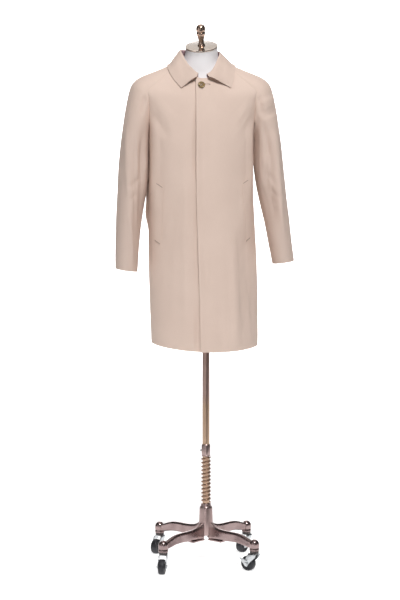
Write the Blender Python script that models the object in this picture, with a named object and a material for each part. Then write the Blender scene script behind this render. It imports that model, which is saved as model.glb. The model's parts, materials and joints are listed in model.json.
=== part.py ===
"""Raglan overcoat on a limbless dress form, carried by a sprung pole on a four-legged castor base.

Metres, +Z up, floor at z = 0. The coat faces -Y, so the wearer's left is +X.
Every piece is modelled about the stand's own axis and hangs from one empty. The heights below are
measured from a level under the floor, which FLOOR gives.
"""
import math

import bmesh
import bpy
from mathutils import Matrix, Vector
from mathutils.bvhtree import BVHTree

# Place of the stand's axis, which centres the part's box over the origin
STAND_X = 0.0065
STAND_Y = 0.0150
FLOOR = 0.0090

# Cloth
WALL = 0.0020
SEAM_GAP = 0.0003
LAP_LIFT = 0.0040
LAP_OVER = 0.0220
LAP_UNDER = 0.0250
LAP_FADE = (0.012, 0.075)
HEM = 0.7655
HEM_TILT = 0.0280
HEM_DIP = 0.0145
UNDERARM = 1.459
NECK_FRONT = 1.658
NECK_BACK = 1.712
ROW_FLATNESS = 0.56
ARMPIT_FADE = 2.3
FLUSH_TURN = 0.45
FLUSH_SPANS = (72, 102)

# Sideways lean of the dressed form: height, shift in x
SWAY = (
    (0.740, -0.0045),
    (0.940, -0.0075),
    (1.100, -0.0126),
    (1.270, -0.0175),
    (1.400, -0.0175),
)
SWAY_TOP = SWAY[-1][1]

# Coat below the underarm: height, half width, how square the sides turn
SIDES = (
    (0.740, 0.1805, 0.62),
    (0.860, 0.1830, 0.62),
    (1.020, 0.1842, 0.63),
    (1.190, 0.1792, 0.65),
    (1.290, 0.1760, 0.67),
    (1.380, 0.1742, 0.75),
    (1.459, 0.1746, 0.88),
)

# Centre lines of the coat: height, front depth, back depth
CENTRES = (
    (0.740, 0.150, 0.140),
    (1.020, 0.143, 0.128),
    (1.290, 0.135, 0.116),
    (1.459, 0.131, 0.119),
    (1.540, 0.125, 0.117),
    (1.610, 0.111, 0.105),
    (1.660, 0.092, 0.086),
    (1.712, 0.072, 0.058),
)

# Sleeve sections from cuff to neck: crest x, crest z, slope of the section in degrees,
# radius along the slope, half depth front to back, half span in degrees, middle in y
SLEEVE = (
    (0.3025, 1.0460, 8, 0.0368, 0.056, 180, -0.022),
    (0.2935, 1.1920, 8, 0.0425, 0.068, 180, -0.012),
    (0.2840, 1.3010, 8, 0.0492, 0.074, 180, -0.006),
    (0.2775, 1.3860, 8, 0.0505, 0.078, 180, -0.002),
    (0.2680, 1.4720, 8, 0.0472, 0.080, 180, 0.000),
    (0.2630, 1.5000, 10, 0.0475, 0.080, 155, 0.000),
    (0.2580, 1.5380, 13, 0.0480, 0.081, 139, 0.000),
    (0.2500, 1.5780, 17, 0.0500, 0.082, 122, 0.000),
    (0.2413, 1.6186, 25, 0.0550, 0.082, 107, 0.000),
    (0.2330, 1.6400, 36, 0.0590, 0.082, 96, 0.000),
    (0.2190, 1.6545, 48, 0.0600, 0.081, 85, 0.000),
    (0.2015, 1.6655, 58, 0.0600, 0.080, 77, 0.000),
    (0.1780, 1.6750, 66, 0.0600, 0.078, 72, 0.000),
    (0.1530, 1.6850, 68, 0.0550, 0.073, 65, 0.000),
    (0.1260, 1.6955, 69, 0.0500, 0.067, 55, 0.000),
    (0.1000, 1.7055, 70, 0.0450, 0.060, 47, -0.002),
    (0.0800, 1.7125, 70, 0.0400, 0.055, 42, -0.004),
)
UNDERARM_ROW = 4
TUBE_STEPS = 2
SLEEVE_COLUMNS = 18
# Each sleeve's swing away from the body and stretch below the underarm
SLEEVE_SETS = {"left": (0.070, 0.994), "right": (-0.070, 1.054)}

# Main folds: piece, place across at the top and at the foot, half width, top, foot, rise.
# The place is in metres from the centre line, or on a sleeve a share of the way from front to back.
FOLDS = (
    ("front_left", 0.060, 0.082, 0.040, 1.560, 0.700, 0.0040),
    ("front_left", 0.118, 0.128, 0.026, 1.180, 0.700, -0.0030),
    ("front_left", 0.150, 0.112, 0.022, 1.520, 1.400, 0.0030),
    ("front_right", 0.030, 0.034, 0.018, 1.420, 0.700, -0.0024),
    ("front_right", 0.058, 0.066, 0.024, 1.460, 0.720, 0.0040),
    ("front_right", 0.104, 0.120, 0.030, 1.300, 0.700, -0.0028),
    ("front_right", 0.152, 0.110, 0.022, 1.530, 1.420, 0.0032),
    ("back", -0.128, -0.104, 0.034, 1.500, 0.700, 0.0040),
    ("back", -0.050, -0.062, 0.036, 1.400, 0.700, -0.0036),
    ("back", 0.010, 0.022, 0.034, 1.340, 0.700, 0.0032),
    ("back", 0.076, 0.070, 0.034, 1.420, 0.700, -0.0036),
    ("back", 0.132, 0.112, 0.032, 1.500, 0.700, 0.0040),
    ("sleeve_left", 0.330, 0.290, 0.085, 1.560, 1.100, 0.0042),
    ("sleeve_left", 0.180, 0.190, 0.070, 1.440, 1.160, -0.0034),
    ("sleeve_left", 0.700, 0.740, 0.090, 1.520, 1.120, 0.0036),
    ("sleeve_right", 0.340, 0.260, 0.080, 1.570, 1.090, 0.0042),
    ("sleeve_right", 0.210, 0.170, 0.060, 1.430, 1.150, -0.0034),
    ("sleeve_right", 0.690, 0.730, 0.090, 1.530, 1.130, 0.0036),
)
FOLD_FADE = 0.110

BODY_ROWS = 9
FRONT_COLUMNS = 12
BACK_COLUMNS = 22
ROW_SAMPLES = 28

# Collar fold around the neck: degrees from the front, height, pull towards the neck
FOLD = (
    (0, 1.6675, 0.96),
    (34, 1.6850, 0.91),
    (52, 1.7090, 0.86),
    (69, 1.7355, 0.81),
    (90, 1.7490, 0.78),
    (130, 1.7540, 0.80),
    (180, 1.7560, 0.84),
)
# Collar edge from its point to the centre back: share of the length, x, y, z
EDGE = (
    (0.00, 0.082, -0.103, 1.626),
    (0.18, 0.099, -0.085, 1.652),
    (0.36, 0.109, -0.055, 1.680),
    (0.52, 0.111, -0.010, 1.697),
    (0.72, 0.090, 0.045, 1.703),
    (1.00, 0.000, 0.079, 1.700),
)
NECK_CENTRE_Y = -0.015
FOLD_SHIFT = -0.0030
FOLD_TILT = 0.003
COLLAR_END = 0.015
POINT_SHIFT = 0.0120
POINT_FADE = 0.36
COLLAR_COLUMNS = 12
COLLAR_FOLD_RADIUS = 0.0036
COLLAR_LIFT = 0.0045
COLLAR_SEAT = 0.0006
FOLD_STEPS = 4
FALL_STEPS = 5
FALL_BULGE = 0.001

# Pocket welts, as distances from the centre front along the cloth
WELT_TOP = (0.136, 1.300)
WELT_FOOT = (0.158, 1.108)
WELT_WIDTH = 0.032
WELT_SLANT = 0.012
WELT_RISE = {"left": 0.012, "right": 0.0}
WELT_GAP = 0.0008
WELT_WALL = 0.0018
WELT_STEPS = (7, 3)

BUTTON_X = -0.005
BUTTON_Z = 1.6355
BUTTON_GAP = 0.0006
# Button turned on its own axis: height above the cloth side, radius
BUTTON = (
    (0.0000, 0.0094),
    (0.0012, 0.0120),
    (0.0032, 0.0120),
    (0.0042, 0.0108),
)

# Dress form rings: side x, side z, front y, front z, back y, back z
FORM = (
    (0.158, 1.000, -0.112, 1.000, 0.102, 1.000),
    (0.159, 1.060, -0.113, 1.060, 0.104, 1.060),
    (0.152, 1.150, -0.108, 1.150, 0.096, 1.150),
    (0.143, 1.250, -0.104, 1.250, 0.086, 1.250),
    (0.150, 1.350, -0.110, 1.350, 0.090, 1.350),
    (0.160, 1.440, -0.115, 1.430, 0.096, 1.435),
    (0.172, 1.530, -0.112, 1.490, 0.098, 1.505),
    (0.182, 1.600, -0.106, 1.540, 0.096, 1.560),
    (0.188, 1.650, -0.098, 1.580, 0.090, 1.605),
    (0.180, 1.6710, -0.088, 1.612, 0.076, 1.634),
    (0.152, 1.6822, -0.076, 1.645, 0.062, 1.664),
    (0.112, 1.6980, -0.068, 1.668, 0.050, 1.686),
    (0.078, 1.7092, -0.064, 1.684, 0.044, 1.702),
    (0.059, 1.7220, -0.065, 1.698, 0.039, 1.717),
)
FORM_COLUMNS = 28
NECK_HALF_WIDTH = 0.0540
NECK_HALF_DEPTH = 0.0560
NECK_BAND = 0.0140
CAP_TILT = math.radians(22)
CAP_ROLL = math.radians(-4)
CAP_CENTRE = (0.001, -0.016, 1.764)
# Cap turned on its own axis: height, radius
CAP = (
    (0.0000, 0.0523),
    (0.0022, 0.0545),
    (0.0043, 0.0545),
    (0.0065, 0.0523),
)
# Finial turned on the cap's axis: height above the cap, radius
FINIAL = (
    (0.0000, 0.0120),
    (0.0033, 0.0125),
    (0.0066, 0.0102),
    (0.0141, 0.0089),
    (0.0226, 0.0098),
    (0.0338, 0.0128),
    (0.0423, 0.0149),
    (0.0461, 0.0149),
    (0.0479, 0.0136),
    (0.0503, 0.0136),
    (0.0526, 0.0154),
    (0.0611, 0.0156),
    (0.0677, 0.0132),
    (0.0719, 0.0080),
    (0.0738, 0.0022),
)

# Stand
POLE_RADIUS = 0.0120
POLE_FOOT = 0.112
BORE_RADIUS = 0.0124
SPRING_FOOT = 0.2133
SPRING_TOP = 0.3757
SPRING_RADIUS = 0.0146
SPRING_WIRE = 0.0017
SPRING_TURNS = 12
# Stop collar, outside of the bore: height, radius
STOP = (
    (0.376, 0.0142),
    (0.378, 0.0152),
    (0.414, 0.0152),
    (0.416, 0.0142),
    (0.418, 0.0132),
)
SCREW_HEIGHT = 0.397
SCREW_RADIUS = 0.0026
SCREW_LENGTH = 0.0045
# Hub, outside of the bore: height, radius
HUB = (
    (0.103, 0.0225),
    (0.106, 0.0245),
    (0.144, 0.0245),
    (0.152, 0.0235),
    (0.197, 0.0220),
    (0.203, 0.0208),
    (0.206, 0.0172),
    (0.213, 0.0168),
)
# Leg sections: distance from the axis, middle height, half height, half width
LEG = (
    (0.0254, 0.1175, 0.0270, 0.0080),
    (0.0450, 0.1120, 0.0225, 0.0080),
    (0.0800, 0.1110, 0.0185, 0.0084),
    (0.1200, 0.1130, 0.0175, 0.0090),
    (0.1500, 0.1122, 0.0168, 0.0098),
    (0.1760, 0.1065, 0.0160, 0.0104),
    (0.1960, 0.1005, 0.0140, 0.0112),
    (0.2100, 0.0985, 0.0120, 0.0112),
)
LEG_REACH = 0.2165
LEG_ROUNDING = 0.6
# Boss at the leg's end, turned on the castor's swivel axis: height, radius
BOSS = (
    (0.0792, 0.0155),
    (0.0812, 0.0165),
    (0.1020, 0.0165),
    (0.1090, 0.0150),
    (0.1146, 0.0106),
    (0.1177, 0.0051),
)
SEAT_RADIUS = 0.0150
SEAT_FOOT = 0.0722
SEAT_TOP = 0.0788
WHEEL_RADIUS = 0.0255
WHEEL_BORE = 0.0036
# Tyre from one side to the other: place along the axle, radius
TYRE = (
    (-0.0110, 0.0204),
    (-0.0097, 0.0237),
    (-0.0060, WHEEL_RADIUS),
    (0.0060, WHEEL_RADIUS),
    (0.0097, 0.0237),
    (0.0110, 0.0204),
)
AXLE_RADIUS = 0.0032
TRAIL = 0.0240
FORK_TOP = 0.0717
FORK_HALF_WIDTH = 0.0146
FORK_WALL = 0.0018
FORK_CORNER = 0.0060
# Fork cheek: height, middle along the trail, half width along the trail
FORK = (
    (0.0262, 0.0240, 0.0030),
    (0.0290, 0.0240, 0.0068),
    (0.0345, 0.0235, 0.0092),
    (0.0420, 0.0190, 0.0118),
    (0.0520, 0.0110, 0.0150),
    (0.0600, 0.0045, 0.0165),
    (0.0717, 0.0000, 0.0158),
)
BRAKE_CORNER = "front_left"
BRAKE_WALL = 0.0016
# Brake tab on the outer side of a fork's cheek: place along the trail and height, both from the axle
BRAKE_TAB = (
    (-0.0050, -0.0100),
    (0.0035, -0.0080),
    (0.0150, 0.0040),
    (0.0262, 0.0160),
    (0.0270, 0.0178),
    (0.0258, 0.0192),
    (0.0130, 0.0168),
    (0.0000, 0.0130),
    (-0.0060, 0.0060),
)
# Corner: leg direction and castor heading, degrees from +X
CORNERS = {
    "front_left": (315, 140),
    "front_right": (225, 257),
    "back_left": (45, 228),
    "back_right": (135, 238),
}

# Finish: colour, roughness, metallic
FINISHES = {
    "gabardine": ((0.71, 0.56, 0.47), 0.85, 0.0),
    "horn": ((0.30, 0.20, 0.10), 0.35, 0.0),
    "jersey": ((0.83, 0.80, 0.79), 0.80, 0.0),
    "champagne": ((0.72, 0.60, 0.52), 0.16, 1.0),
    "bronze": ((0.38, 0.26, 0.21), 0.28, 1.0),
    "rose_bronze": ((0.42, 0.31, 0.29), 0.32, 1.0),
    "zinc": ((0.72, 0.73, 0.75), 0.30, 1.0),
    "dark_steel": ((0.12, 0.10, 0.10), 0.40, 1.0),
    "rubber": ((0.05, 0.05, 0.06), 0.60, 0.0),
}


def clear_scene():
    for item in list(bpy.data.objects):
        bpy.data.objects.remove(item, do_unlink=True)


def finish(name):
    """The material of that name, made on first use."""
    material = bpy.data.materials.get(name)
    if material is None:
        colour, roughness, metallic = FINISHES[name]
        material = bpy.data.materials.new(name)
        material.use_nodes = True
        shader = material.node_tree.nodes["Principled BSDF"]
        shader.inputs["Base Color"].default_value = (*colour, 1.0)
        shader.inputs["Roughness"].default_value = roughness
        shader.inputs["Metallic"].default_value = metallic
    return material


def ease(start, end, value):
    """0 before start, 1 after end, smooth between."""
    share = min(1.0, max(0.0, (value - start) / (end - start)))
    return share * share * (3.0 - 2.0 * share)


def read_table(rows, at):
    """A table's other columns at a value of its first one, on a smooth curve through the rows."""
    last = len(rows) - 1
    i = 0
    while i < last - 1 and at > rows[i + 1][0]:
        i += 1
    span = rows[i + 1][0] - rows[i][0]
    share = min(1.0, max(0.0, (at - rows[i][0]) / span))
    values = []
    for column in range(1, len(rows[0])):
        slopes = []
        for k in (i, i + 1):
            before = rows[max(0, k - 1)]
            after = rows[min(last, k + 1)]
            slopes.append((after[column] - before[column]) / (after[0] - before[0]))
        start = rows[i][column]
        end = rows[i + 1][column]
        cube = share ** 3
        square = share ** 2
        values.append(
            start * (2 * cube - 3 * square + 1)
            + span * slopes[0] * (cube - 2 * square + share)
            + end * (3 * square - 2 * cube)
            + span * slopes[1] * (cube - square)
        )
    return values


def mirrored(point):
    return Vector((-point.x, point.y, point.z))


def walk(line, distance):
    """The point that lies a distance along a line of points."""
    left = distance
    for start, end in zip(line, line[1:]):
        step = (end - start).length
        if left <= step:
            break
        left -= step
    return start + (end - start) * (left / step)


def length_of(line):
    return sum((end - start).length for start, end in zip(line, line[1:]))


# Meshes

def add_object(name, bm, material, root, location=(0, 0, 0)):
    bmesh.ops.recalc_face_normals(bm, faces=bm.faces)
    mesh = bpy.data.meshes.new(name)
    bm.to_mesh(mesh)
    bm.free()
    mesh.materials.append(finish(material))
    item = bpy.data.objects.new(name, mesh)
    item.parent = root
    item.location = location
    bpy.context.collection.objects.link(item)
    return item


def loft(bm, rings, end_caps=True):
    """A skin through closed rings of equal count, shut at both ends or joined end to start."""
    loops = []
    for ring in rings:
        loops.append([bm.verts.new(point) for point in ring])
    pairs = list(zip(loops, loops[1:]))
    if not end_caps:
        pairs.append((loops[-1], loops[0]))
    count = len(loops[0])
    for low, high in pairs:
        for i in range(count):
            j = (i + 1) % count
            bm.faces.new((low[i], low[j], high[j], high[i]))
    if end_caps:
        bm.faces.new(loops[0])
        bm.faces.new(loops[-1])


def circle(radius, height, count):
    ring = []
    for i in range(count):
        angle = 2 * math.pi * i / count
        ring.append(Vector((radius * math.cos(angle), radius * math.sin(angle), height)))
    return ring


def turned(profile, count, bore=None):
    """A body of revolution about Z from (height, radius) rows, solid or with a bore."""
    bm = bmesh.new()
    rings = [circle(radius, height, count) for height, radius in profile]
    if bore:
        rings.append(circle(bore, profile[-1][0], count))
        rings.append(circle(bore, profile[0][0], count))
    loft(bm, rings, end_caps=not bore)
    return bm


def grid_normals(grid, outward):
    """Unit normals of a grid of points, turned the way that outward says."""
    normals = []
    for i, row in enumerate(grid):
        below = grid[max(0, i - 1)]
        above = grid[min(len(grid) - 1, i + 1)]
        line = []
        for j in range(len(row)):
            along = row[min(len(row) - 1, j + 1)] - row[max(0, j - 1)]
            up = above[j] - below[j]
            line.append(along.cross(up).normalized() * outward)
        normals.append(line)
    return normals


def sheet(grid, normals, wall):
    """A closed wall: the grid is its outer face, and the inner one lies a wall thickness behind."""
    bm = bmesh.new()
    faces = []
    for depth in (0.0, wall):
        layer = []
        for row, row_normals in zip(grid, normals):
            layer.append([bm.verts.new(p - n * depth) for p, n in zip(row, row_normals)])
        faces.append(layer)
    outer, inner = faces
    rows = len(grid)
    columns = len(grid[0])
    for i in range(rows - 1):
        for j in range(columns - 1):
            for layer in faces:
                bm.faces.new((layer[i][j], layer[i][j + 1], layer[i + 1][j + 1], layer[i + 1][j]))
    rim = [(0, j) for j in range(columns)]
    rim += [(i, columns - 1) for i in range(1, rows)]
    rim += [(rows - 1, j) for j in range(columns - 2, -1, -1)]
    rim += [(i, 0) for i in range(rows - 2, 0, -1)]
    for (i, j), (k, m) in zip(rim, rim[1:] + rim[:1]):
        bm.faces.new((outer[i][j], outer[k][m], inner[k][m], inner[i][j]))
    return bm


# Sleeves

def sleeve_section(at):
    """One section of the sleeve table, at a row number that may lie between rows."""
    numbered = [(i, *row) for i, row in enumerate(SLEEVE)]
    x, z, slope, radius, depth, span, middle = read_table(numbered, at)
    angle = math.radians(slope)
    if at <= UNDERARM_ROW:
        span = 180
    return Vector((x, middle, z)), Vector((math.cos(angle), 0, math.sin(angle))), radius, depth, span


def sleeve_point(section, share):
    """A point on a section, from the front seam (share 0) over the crest to the back seam (1)."""
    crest, slope, radius, depth, span = section
    angle = math.radians(span * (2 * share - 1))
    return crest - slope * radius * (1 - math.cos(angle)) + Vector((0, depth * math.sin(angle), 0))


def sleeve_rows():
    """Row numbers of the sleeve's grid: closed rows to the underarm, then one for each section."""
    tube = [i / TUBE_STEPS for i in range(UNDERARM_ROW * TUBE_STEPS)]
    return tube + list(range(UNDERARM_ROW, len(SLEEVE)))


def hang(point, swing, stretch):
    """Lets the sleeve below the underarm swing and stretch as it hangs."""
    drop = max(0.0, UNDERARM - point.z)
    return Vector((point.x + swing * drop * drop, point.y, point.z + drop * (1 - stretch)))


# Fronts and back, as half rows from the centre line to the side or to the sleeve's edge

def half_row(face, level):
    """A line of points on the front (face -1) or back (1): level 0 hem, 1 underarm, 2 neck."""
    share = 0.0 if face < 0 else 1.0
    if level <= 1:
        height = HEM + (UNDERARM - HEM) * level
        width, turn = read_table(SIDES, height)
        end = Vector((width, 0, height))
        centre_height = height
    else:
        at = UNDERARM_ROW + (level - 1) * (len(SLEEVE) - 1 - UNDERARM_ROW)
        section = sleeve_section(at)
        end = sleeve_point(section, share)
        neck = NECK_FRONT if face < 0 else NECK_BACK
        neck_end = sleeve_point(sleeve_section(len(SLEEVE) - 1), share)
        rise = (end.z - UNDERARM) / (neck_end.z - UNDERARM)
        centre_height = UNDERARM + (neck - UNDERARM) * rise
        turn = max(0.0, SIDES[-1][2] - ARMPIT_FADE * (level - 1))
    depth = read_table(CENTRES, centre_height)[0 if face < 0 else 1] * face
    start = Vector((0, depth, centre_height))
    leave = start + Vector((ROW_FLATNESS * end.x, 0, 0))
    arrive = Vector((0, -face * turn, 0))
    if level > 1:
        flush = 1 - ease(*FLUSH_SPANS, section[4])
        arrive = arrive.lerp(flush_arrival(section, at, share, end - start) * FLUSH_TURN, flush)
    reach = end - arrive * abs(end.y - depth)
    line = []
    for i in range(ROW_SAMPLES + 1):
        t = i / ROW_SAMPLES
        s = 1 - t
        line.append(start * s ** 3 + leave * 3 * s * s * t + reach * 3 * s * t * t + end * t ** 3)
    return line


def flush_arrival(section, at, share, chord):
    """The way a row runs into the raglan seam flush with the sleeve's surface."""
    step = 0.02
    inside = share + step if share < 0.5 else share - step
    across = sleeve_point(section, inside) - sleeve_point(section, share)
    below = sleeve_point(sleeve_section(at - step), share)
    above = sleeve_point(sleeve_section(min(len(SLEEVE) - 1, at + step)), share)
    plane = across.cross(above - below).normalized()
    run = chord.normalized()
    return (run - plane * run.dot(plane)).normalized()


def panel_levels():
    body = [i / BODY_ROWS for i in range(BODY_ROWS)]
    yoke_rows = len(SLEEVE) - 1 - UNDERARM_ROW
    return body + [1 + i / yoke_rows for i in range(yoke_rows + 1)]


def hem_drop(point, level):
    """Moves a point of the skirt up or down to the hem's own line."""
    share = max(0.0, 1 - level)
    dip = HEM_DIP * (max(0.0, -point.y) / CENTRES[0][1]) ** 2
    return Vector((point.x, point.y, point.z - share * (HEM_TILT * point.x + dip)))


def sway(level, point):
    if level > 1:
        return point + Vector((SWAY_TOP, 0, 0))
    return point + Vector((read_table(SWAY, HEM + (UNDERARM - HEM) * level)[0], 0, 0))


def panel_point(line, distance, side):
    """A point at a distance from the centre line, negative past it, on the wearer's left or right."""
    point = walk(line, abs(distance))
    flip = (distance < 0) != (side < 0)
    return mirrored(point) if flip else point


def front_grid(side, start, lift):
    """The outer points of one front, with its lap lifted, and their distances from the centre line."""
    grid = []
    places = []
    for level in panel_levels():
        line = half_row(-1, level)
        end = length_of(line)
        if level < 1:
            end -= SEAM_GAP / 2
        distances = [start + (end - start) * j / FRONT_COLUMNS for j in range(FRONT_COLUMNS + 1)]
        row = []
        for distance in distances:
            point = panel_point(line, distance, side)
            point.y -= lift * (1 - ease(*LAP_FADE, distance))
            row.append(sway(level, hem_drop(point, level)))
        grid.append(row)
        places.append(distances)
    return grid, places


def back_grid():
    """The outer points of the back and their distances from the centre line."""
    grid = []
    places = []
    for level in panel_levels():
        line = half_row(1, level)
        end = length_of(line)
        if level < 1:
            end -= SEAM_GAP / 2
        distances = [end * (2 * j / BACK_COLUMNS - 1) for j in range(BACK_COLUMNS + 1)]
        row = []
        for distance in distances:
            row.append(sway(level, hem_drop(panel_point(line, distance, 1), level)))
        grid.append(row)
        places.append(distances)
    return grid, places


def sleeve_grid(side, swing, stretch):
    grid = []
    for at in sleeve_rows():
        section = sleeve_section(at)
        row = []
        for j in range(SLEEVE_COLUMNS + 1):
            point = hang(sleeve_point(section, j / SLEEVE_COLUMNS), swing, stretch)
            point.x = side * point.x + SWAY_TOP
            row.append(point)
        grid.append(row)
    return grid


def open_seams(sleeve, sleeve_normals, side, panels):
    """Parts the sleeve's edges from each other and from the fronts and back by the seam gap."""
    tube_rows = UNDERARM_ROW * TUBE_STEPS
    for column, step, (panel, panel_normals, edge, inner) in zip((0, -1), (1, -1), panels):
        for i, row in enumerate(sleeve):
            apart = Vector((0, -step * SEAM_GAP / 2, 0))
            if i <= tube_rows:
                sleeve_normals[i][column] = Vector((-side, 0, 0))
                row[column] += apart
            if i >= tube_rows:
                k = BODY_ROWS + i - tube_rows
                arrive = (panel[k][edge] - panel[k][inner]).normalized()
                away = (sleeve[i][column + step] - row[column]).normalized()
                across = panel_normals[k][edge]
                turn = arrive.dot(away)
                row[column] += ((arrive + away) + across * (1 - turn)).normalized() * SEAM_GAP
                shared = across + sleeve_normals[i][column]
                if across.dot(sleeve_normals[i][column]) > 0.3:
                    panel_normals[k][edge] = shared.normalized()
                    sleeve_normals[i][column] = shared.normalized()


def share_side_seam(front_normals, back_normals, back_edge, side):
    """Gives the two walls at a side seam one normal, so that their edges stay apart."""
    for i in range(BODY_ROWS + 1):
        shared = Vector((side, 0, 0))
        front_normals[i][-1] = shared
        back_normals[i][back_edge] = shared


def fold_rise(piece, across, height):
    """How far the piece's folds stand out at a place across it and a height."""
    rise = 0.0
    for name, top_place, foot_place, width, top, foot, depth in FOLDS:
        if name != piece:
            continue
        down = (top - height) / (top - foot)
        off = abs(across - top_place - (foot_place - top_place) * down) / width
        if off < 1:
            fade = ease(0, FOLD_FADE, top - height) * ease(0, FOLD_FADE, height - foot)
            rise += depth * fade * (1 - off * off) ** 2
    return rise


def folded(piece, grid, places, outward):
    """A piece's points moved in or out by its folds, and their normals; places are across each row."""
    for row, normals, row_places in zip(grid, grid_normals(grid, outward), places):
        for point, normal, across in zip(row, normals, row_places):
            point += normal * fold_rise(piece, across, point.z)
    return grid, grid_normals(grid, outward)


# Collar, welts and button, laid on the coat's own surface

def surface_of(grids):
    """A search tree of the coat's outer faces."""
    points = []
    faces = []
    for grid, outward in grids:
        first = len(points)
        columns = len(grid[0])
        for row in grid:
            points += row
        for i in range(len(grid) - 1):
            for j in range(columns - 1):
                a = first + i * columns + j
                quad = (a, a + 1, a + columns + 1, a + columns)
                faces.append(quad if outward > 0 else quad[::-1])
    return BVHTree.FromPolygons(points, faces)


def clear_of(surface, point, lift):
    """Moves a point out until it clears the surface by the lift."""
    nearest, normal, _, _ = surface.find_nearest(point)
    height = (point - nearest).dot(normal)
    if height >= lift:
        return point
    return nearest + normal * lift


def neck_line():
    """The coat's neck seam on one side, from the centre front to the centre back."""
    sleeve = sleeve_section(len(SLEEVE) - 1)
    over = [sleeve_point(sleeve, i / SLEEVE_COLUMNS) for i in range(SLEEVE_COLUMNS + 1)]
    return half_row(-1, 2) + over[1:-1] + half_row(1, 2)[::-1]


def collar_section(surface, line, share, side):
    """Visible points of the collar at one place: up the stand, over the fold and down the fall."""
    base = walk(line, COLLAR_END + (length_of(line) - COLLAR_END) * share)
    out = Vector((base.x, base.y - NECK_CENTRE_Y, 0))
    angle = math.degrees(math.atan2(out.x, -out.y))
    height, pull = read_table(FOLD, angle)
    top = Vector((base.x * pull, NECK_CENTRE_Y + out.y * pull, height))
    edge = Vector(read_table(EDGE, share))
    edge.x += side * POINT_SHIFT * max(0.0, 1 - share / POINT_FADE)
    out.normalize()
    lean = side * out.x
    top += Vector((FOLD_SHIFT * lean, 0, -FOLD_TILT * lean))
    up = Vector((0, 0, 1))
    seat = base + up * COLLAR_SEAT - out * WALL
    shoulder = top - up * COLLAR_FOLD_RADIUS
    points = [seat, seat.lerp(shoulder, 0.5)]
    centre = shoulder + out * COLLAR_FOLD_RADIUS
    for i in range(FOLD_STEPS + 1):
        turn = math.pi * i / FOLD_STEPS
        points.append(centre + (up * math.sin(turn) - out * math.cos(turn)) * COLLAR_FOLD_RADIUS)
    start = points[-1]
    for i in range(1, FALL_STEPS + 1):
        t = i / FALL_STEPS
        point = start.lerp(edge, t) + (up * 0.5 + out) * FALL_BULGE * math.sin(math.pi * t)
        points.append(point)
    placed = [Vector((side * point.x + SWAY_TOP, point.y, point.z)) for point in points]
    fall = FALL_STEPS + 1
    return placed[:-fall] + [clear_of(surface, point, COLLAR_LIFT) for point in placed[-fall:]]


def collar_grid(surface):
    line = neck_line()
    shares = [i / COLLAR_COLUMNS for i in range(COLLAR_COLUMNS + 1)]
    right = [collar_section(surface, line, share, -1) for share in shares]
    left = [collar_section(surface, line, share, 1) for share in shares]
    return right[:-1] + left[::-1]


def welt_grid(surface, side, rise):
    """Points of a slanted welt on one front: down its length, then across to its side edge."""
    steps, across_steps = WELT_STEPS
    grid = []
    for i in range(steps + 1):
        t = i / steps
        row = []
        for j in range(across_steps + 1):
            s = j / across_steps
            distance = WELT_TOP[0] + (WELT_FOOT[0] - WELT_TOP[0]) * t + WELT_WIDTH * s
            height = WELT_TOP[1] + (WELT_FOOT[1] - WELT_TOP[1]) * t + WELT_SLANT * s + rise
            level = (height - HEM) / (UNDERARM - HEM)
            point = sway(level, hem_drop(panel_point(half_row(-1, level), distance, side), level))
            row.append(clear_of(surface, point, WELT_GAP + WELT_WALL))
        grid.append(row)
    return grid


def build_coat(root):
    fronts = {}
    normals = {}
    for name, side, past, lift in (("left", 1, LAP_OVER, LAP_LIFT), ("right", -1, LAP_UNDER, 0.0)):
        grid, places = front_grid(side, -past, lift)
        fronts[name], normals[name] = folded("front_" + name, grid, places, side)
    back, back_normals = folded("back", *back_grid(), -1)
    sleeves = {}
    for name, side, back_edge in (("left", 1, -1), ("right", -1, 0)):
        grid = sleeve_grid(side, *SLEEVE_SETS[name])
        shares = [j / SLEEVE_COLUMNS for j in range(SLEEVE_COLUMNS + 1)]
        grid, sleeve_normals = folded("sleeve_" + name, grid, [shares] * len(grid), side)
        share_side_seam(normals[name], back_normals, back_edge, side)
        back_inner = back_edge - 1 if back_edge < 0 else 1
        panels = (
            (fronts[name], normals[name], -1, -2),
            (back, back_normals, back_edge, back_inner),
        )
        open_seams(grid, sleeve_normals, side, panels)
        sleeves[name] = (grid, sleeve_normals)
    for name in ("left", "right"):
        add_object("front_" + name, sheet(fronts[name], normals[name], WALL), "gabardine", root)
        add_object("sleeve_" + name, sheet(*sleeves[name], WALL), "gabardine", root)
    add_object("back", sheet(back, back_normals, WALL), "gabardine", root)
    outer = [(fronts["left"], 1), (fronts["right"], -1), (back, -1)]
    outer += [(sleeves["left"][0], 1), (sleeves["right"][0], -1)]
    collar = collar_grid(surface_of(outer))
    add_object("collar", sheet(collar, grid_normals(collar, 1), WALL), "gabardine", root)
    for name, side in (("left", 1), ("right", -1)):
        welt = welt_grid(surface_of([(fronts[name], side)]), side, WELT_RISE[name])
        add_object("welt_" + name, sheet(welt, grid_normals(welt, -side), WELT_WALL), "gabardine", root)
    build_button(root, surface_of([(fronts["left"], 1)]))


def build_button(root, surface):
    probe = Vector((BUTTON_X + SWAY_TOP, -1.0, BUTTON_Z))
    spot, normal, _, _ = surface.ray_cast(probe, Vector((0, 1, 0)))
    bm = turned(BUTTON, 24)
    turn = Vector((0, 0, 1)).rotation_difference(normal).to_matrix().to_4x4()
    place = Matrix.Translation(spot + normal * BUTTON_GAP) @ turn
    bmesh.ops.transform(bm, matrix=place, verts=bm.verts)
    add_object("button", bm, "horn", root)


# Dress form

def form_ring(row):
    side_x, side_z, front_y, front_z, back_y, back_z = row
    ring = []
    for i in range(FORM_COLUMNS):
        angle = 2 * math.pi * i / FORM_COLUMNS
        depth, height = (front_y, front_z) if math.cos(angle) > 0 else (back_y, back_z)
        z = height + (side_z - height) * math.sin(angle) ** 2
        ring.append(Vector((side_x * math.sin(angle), depth * abs(math.cos(angle)), z)))
    return ring


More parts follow.
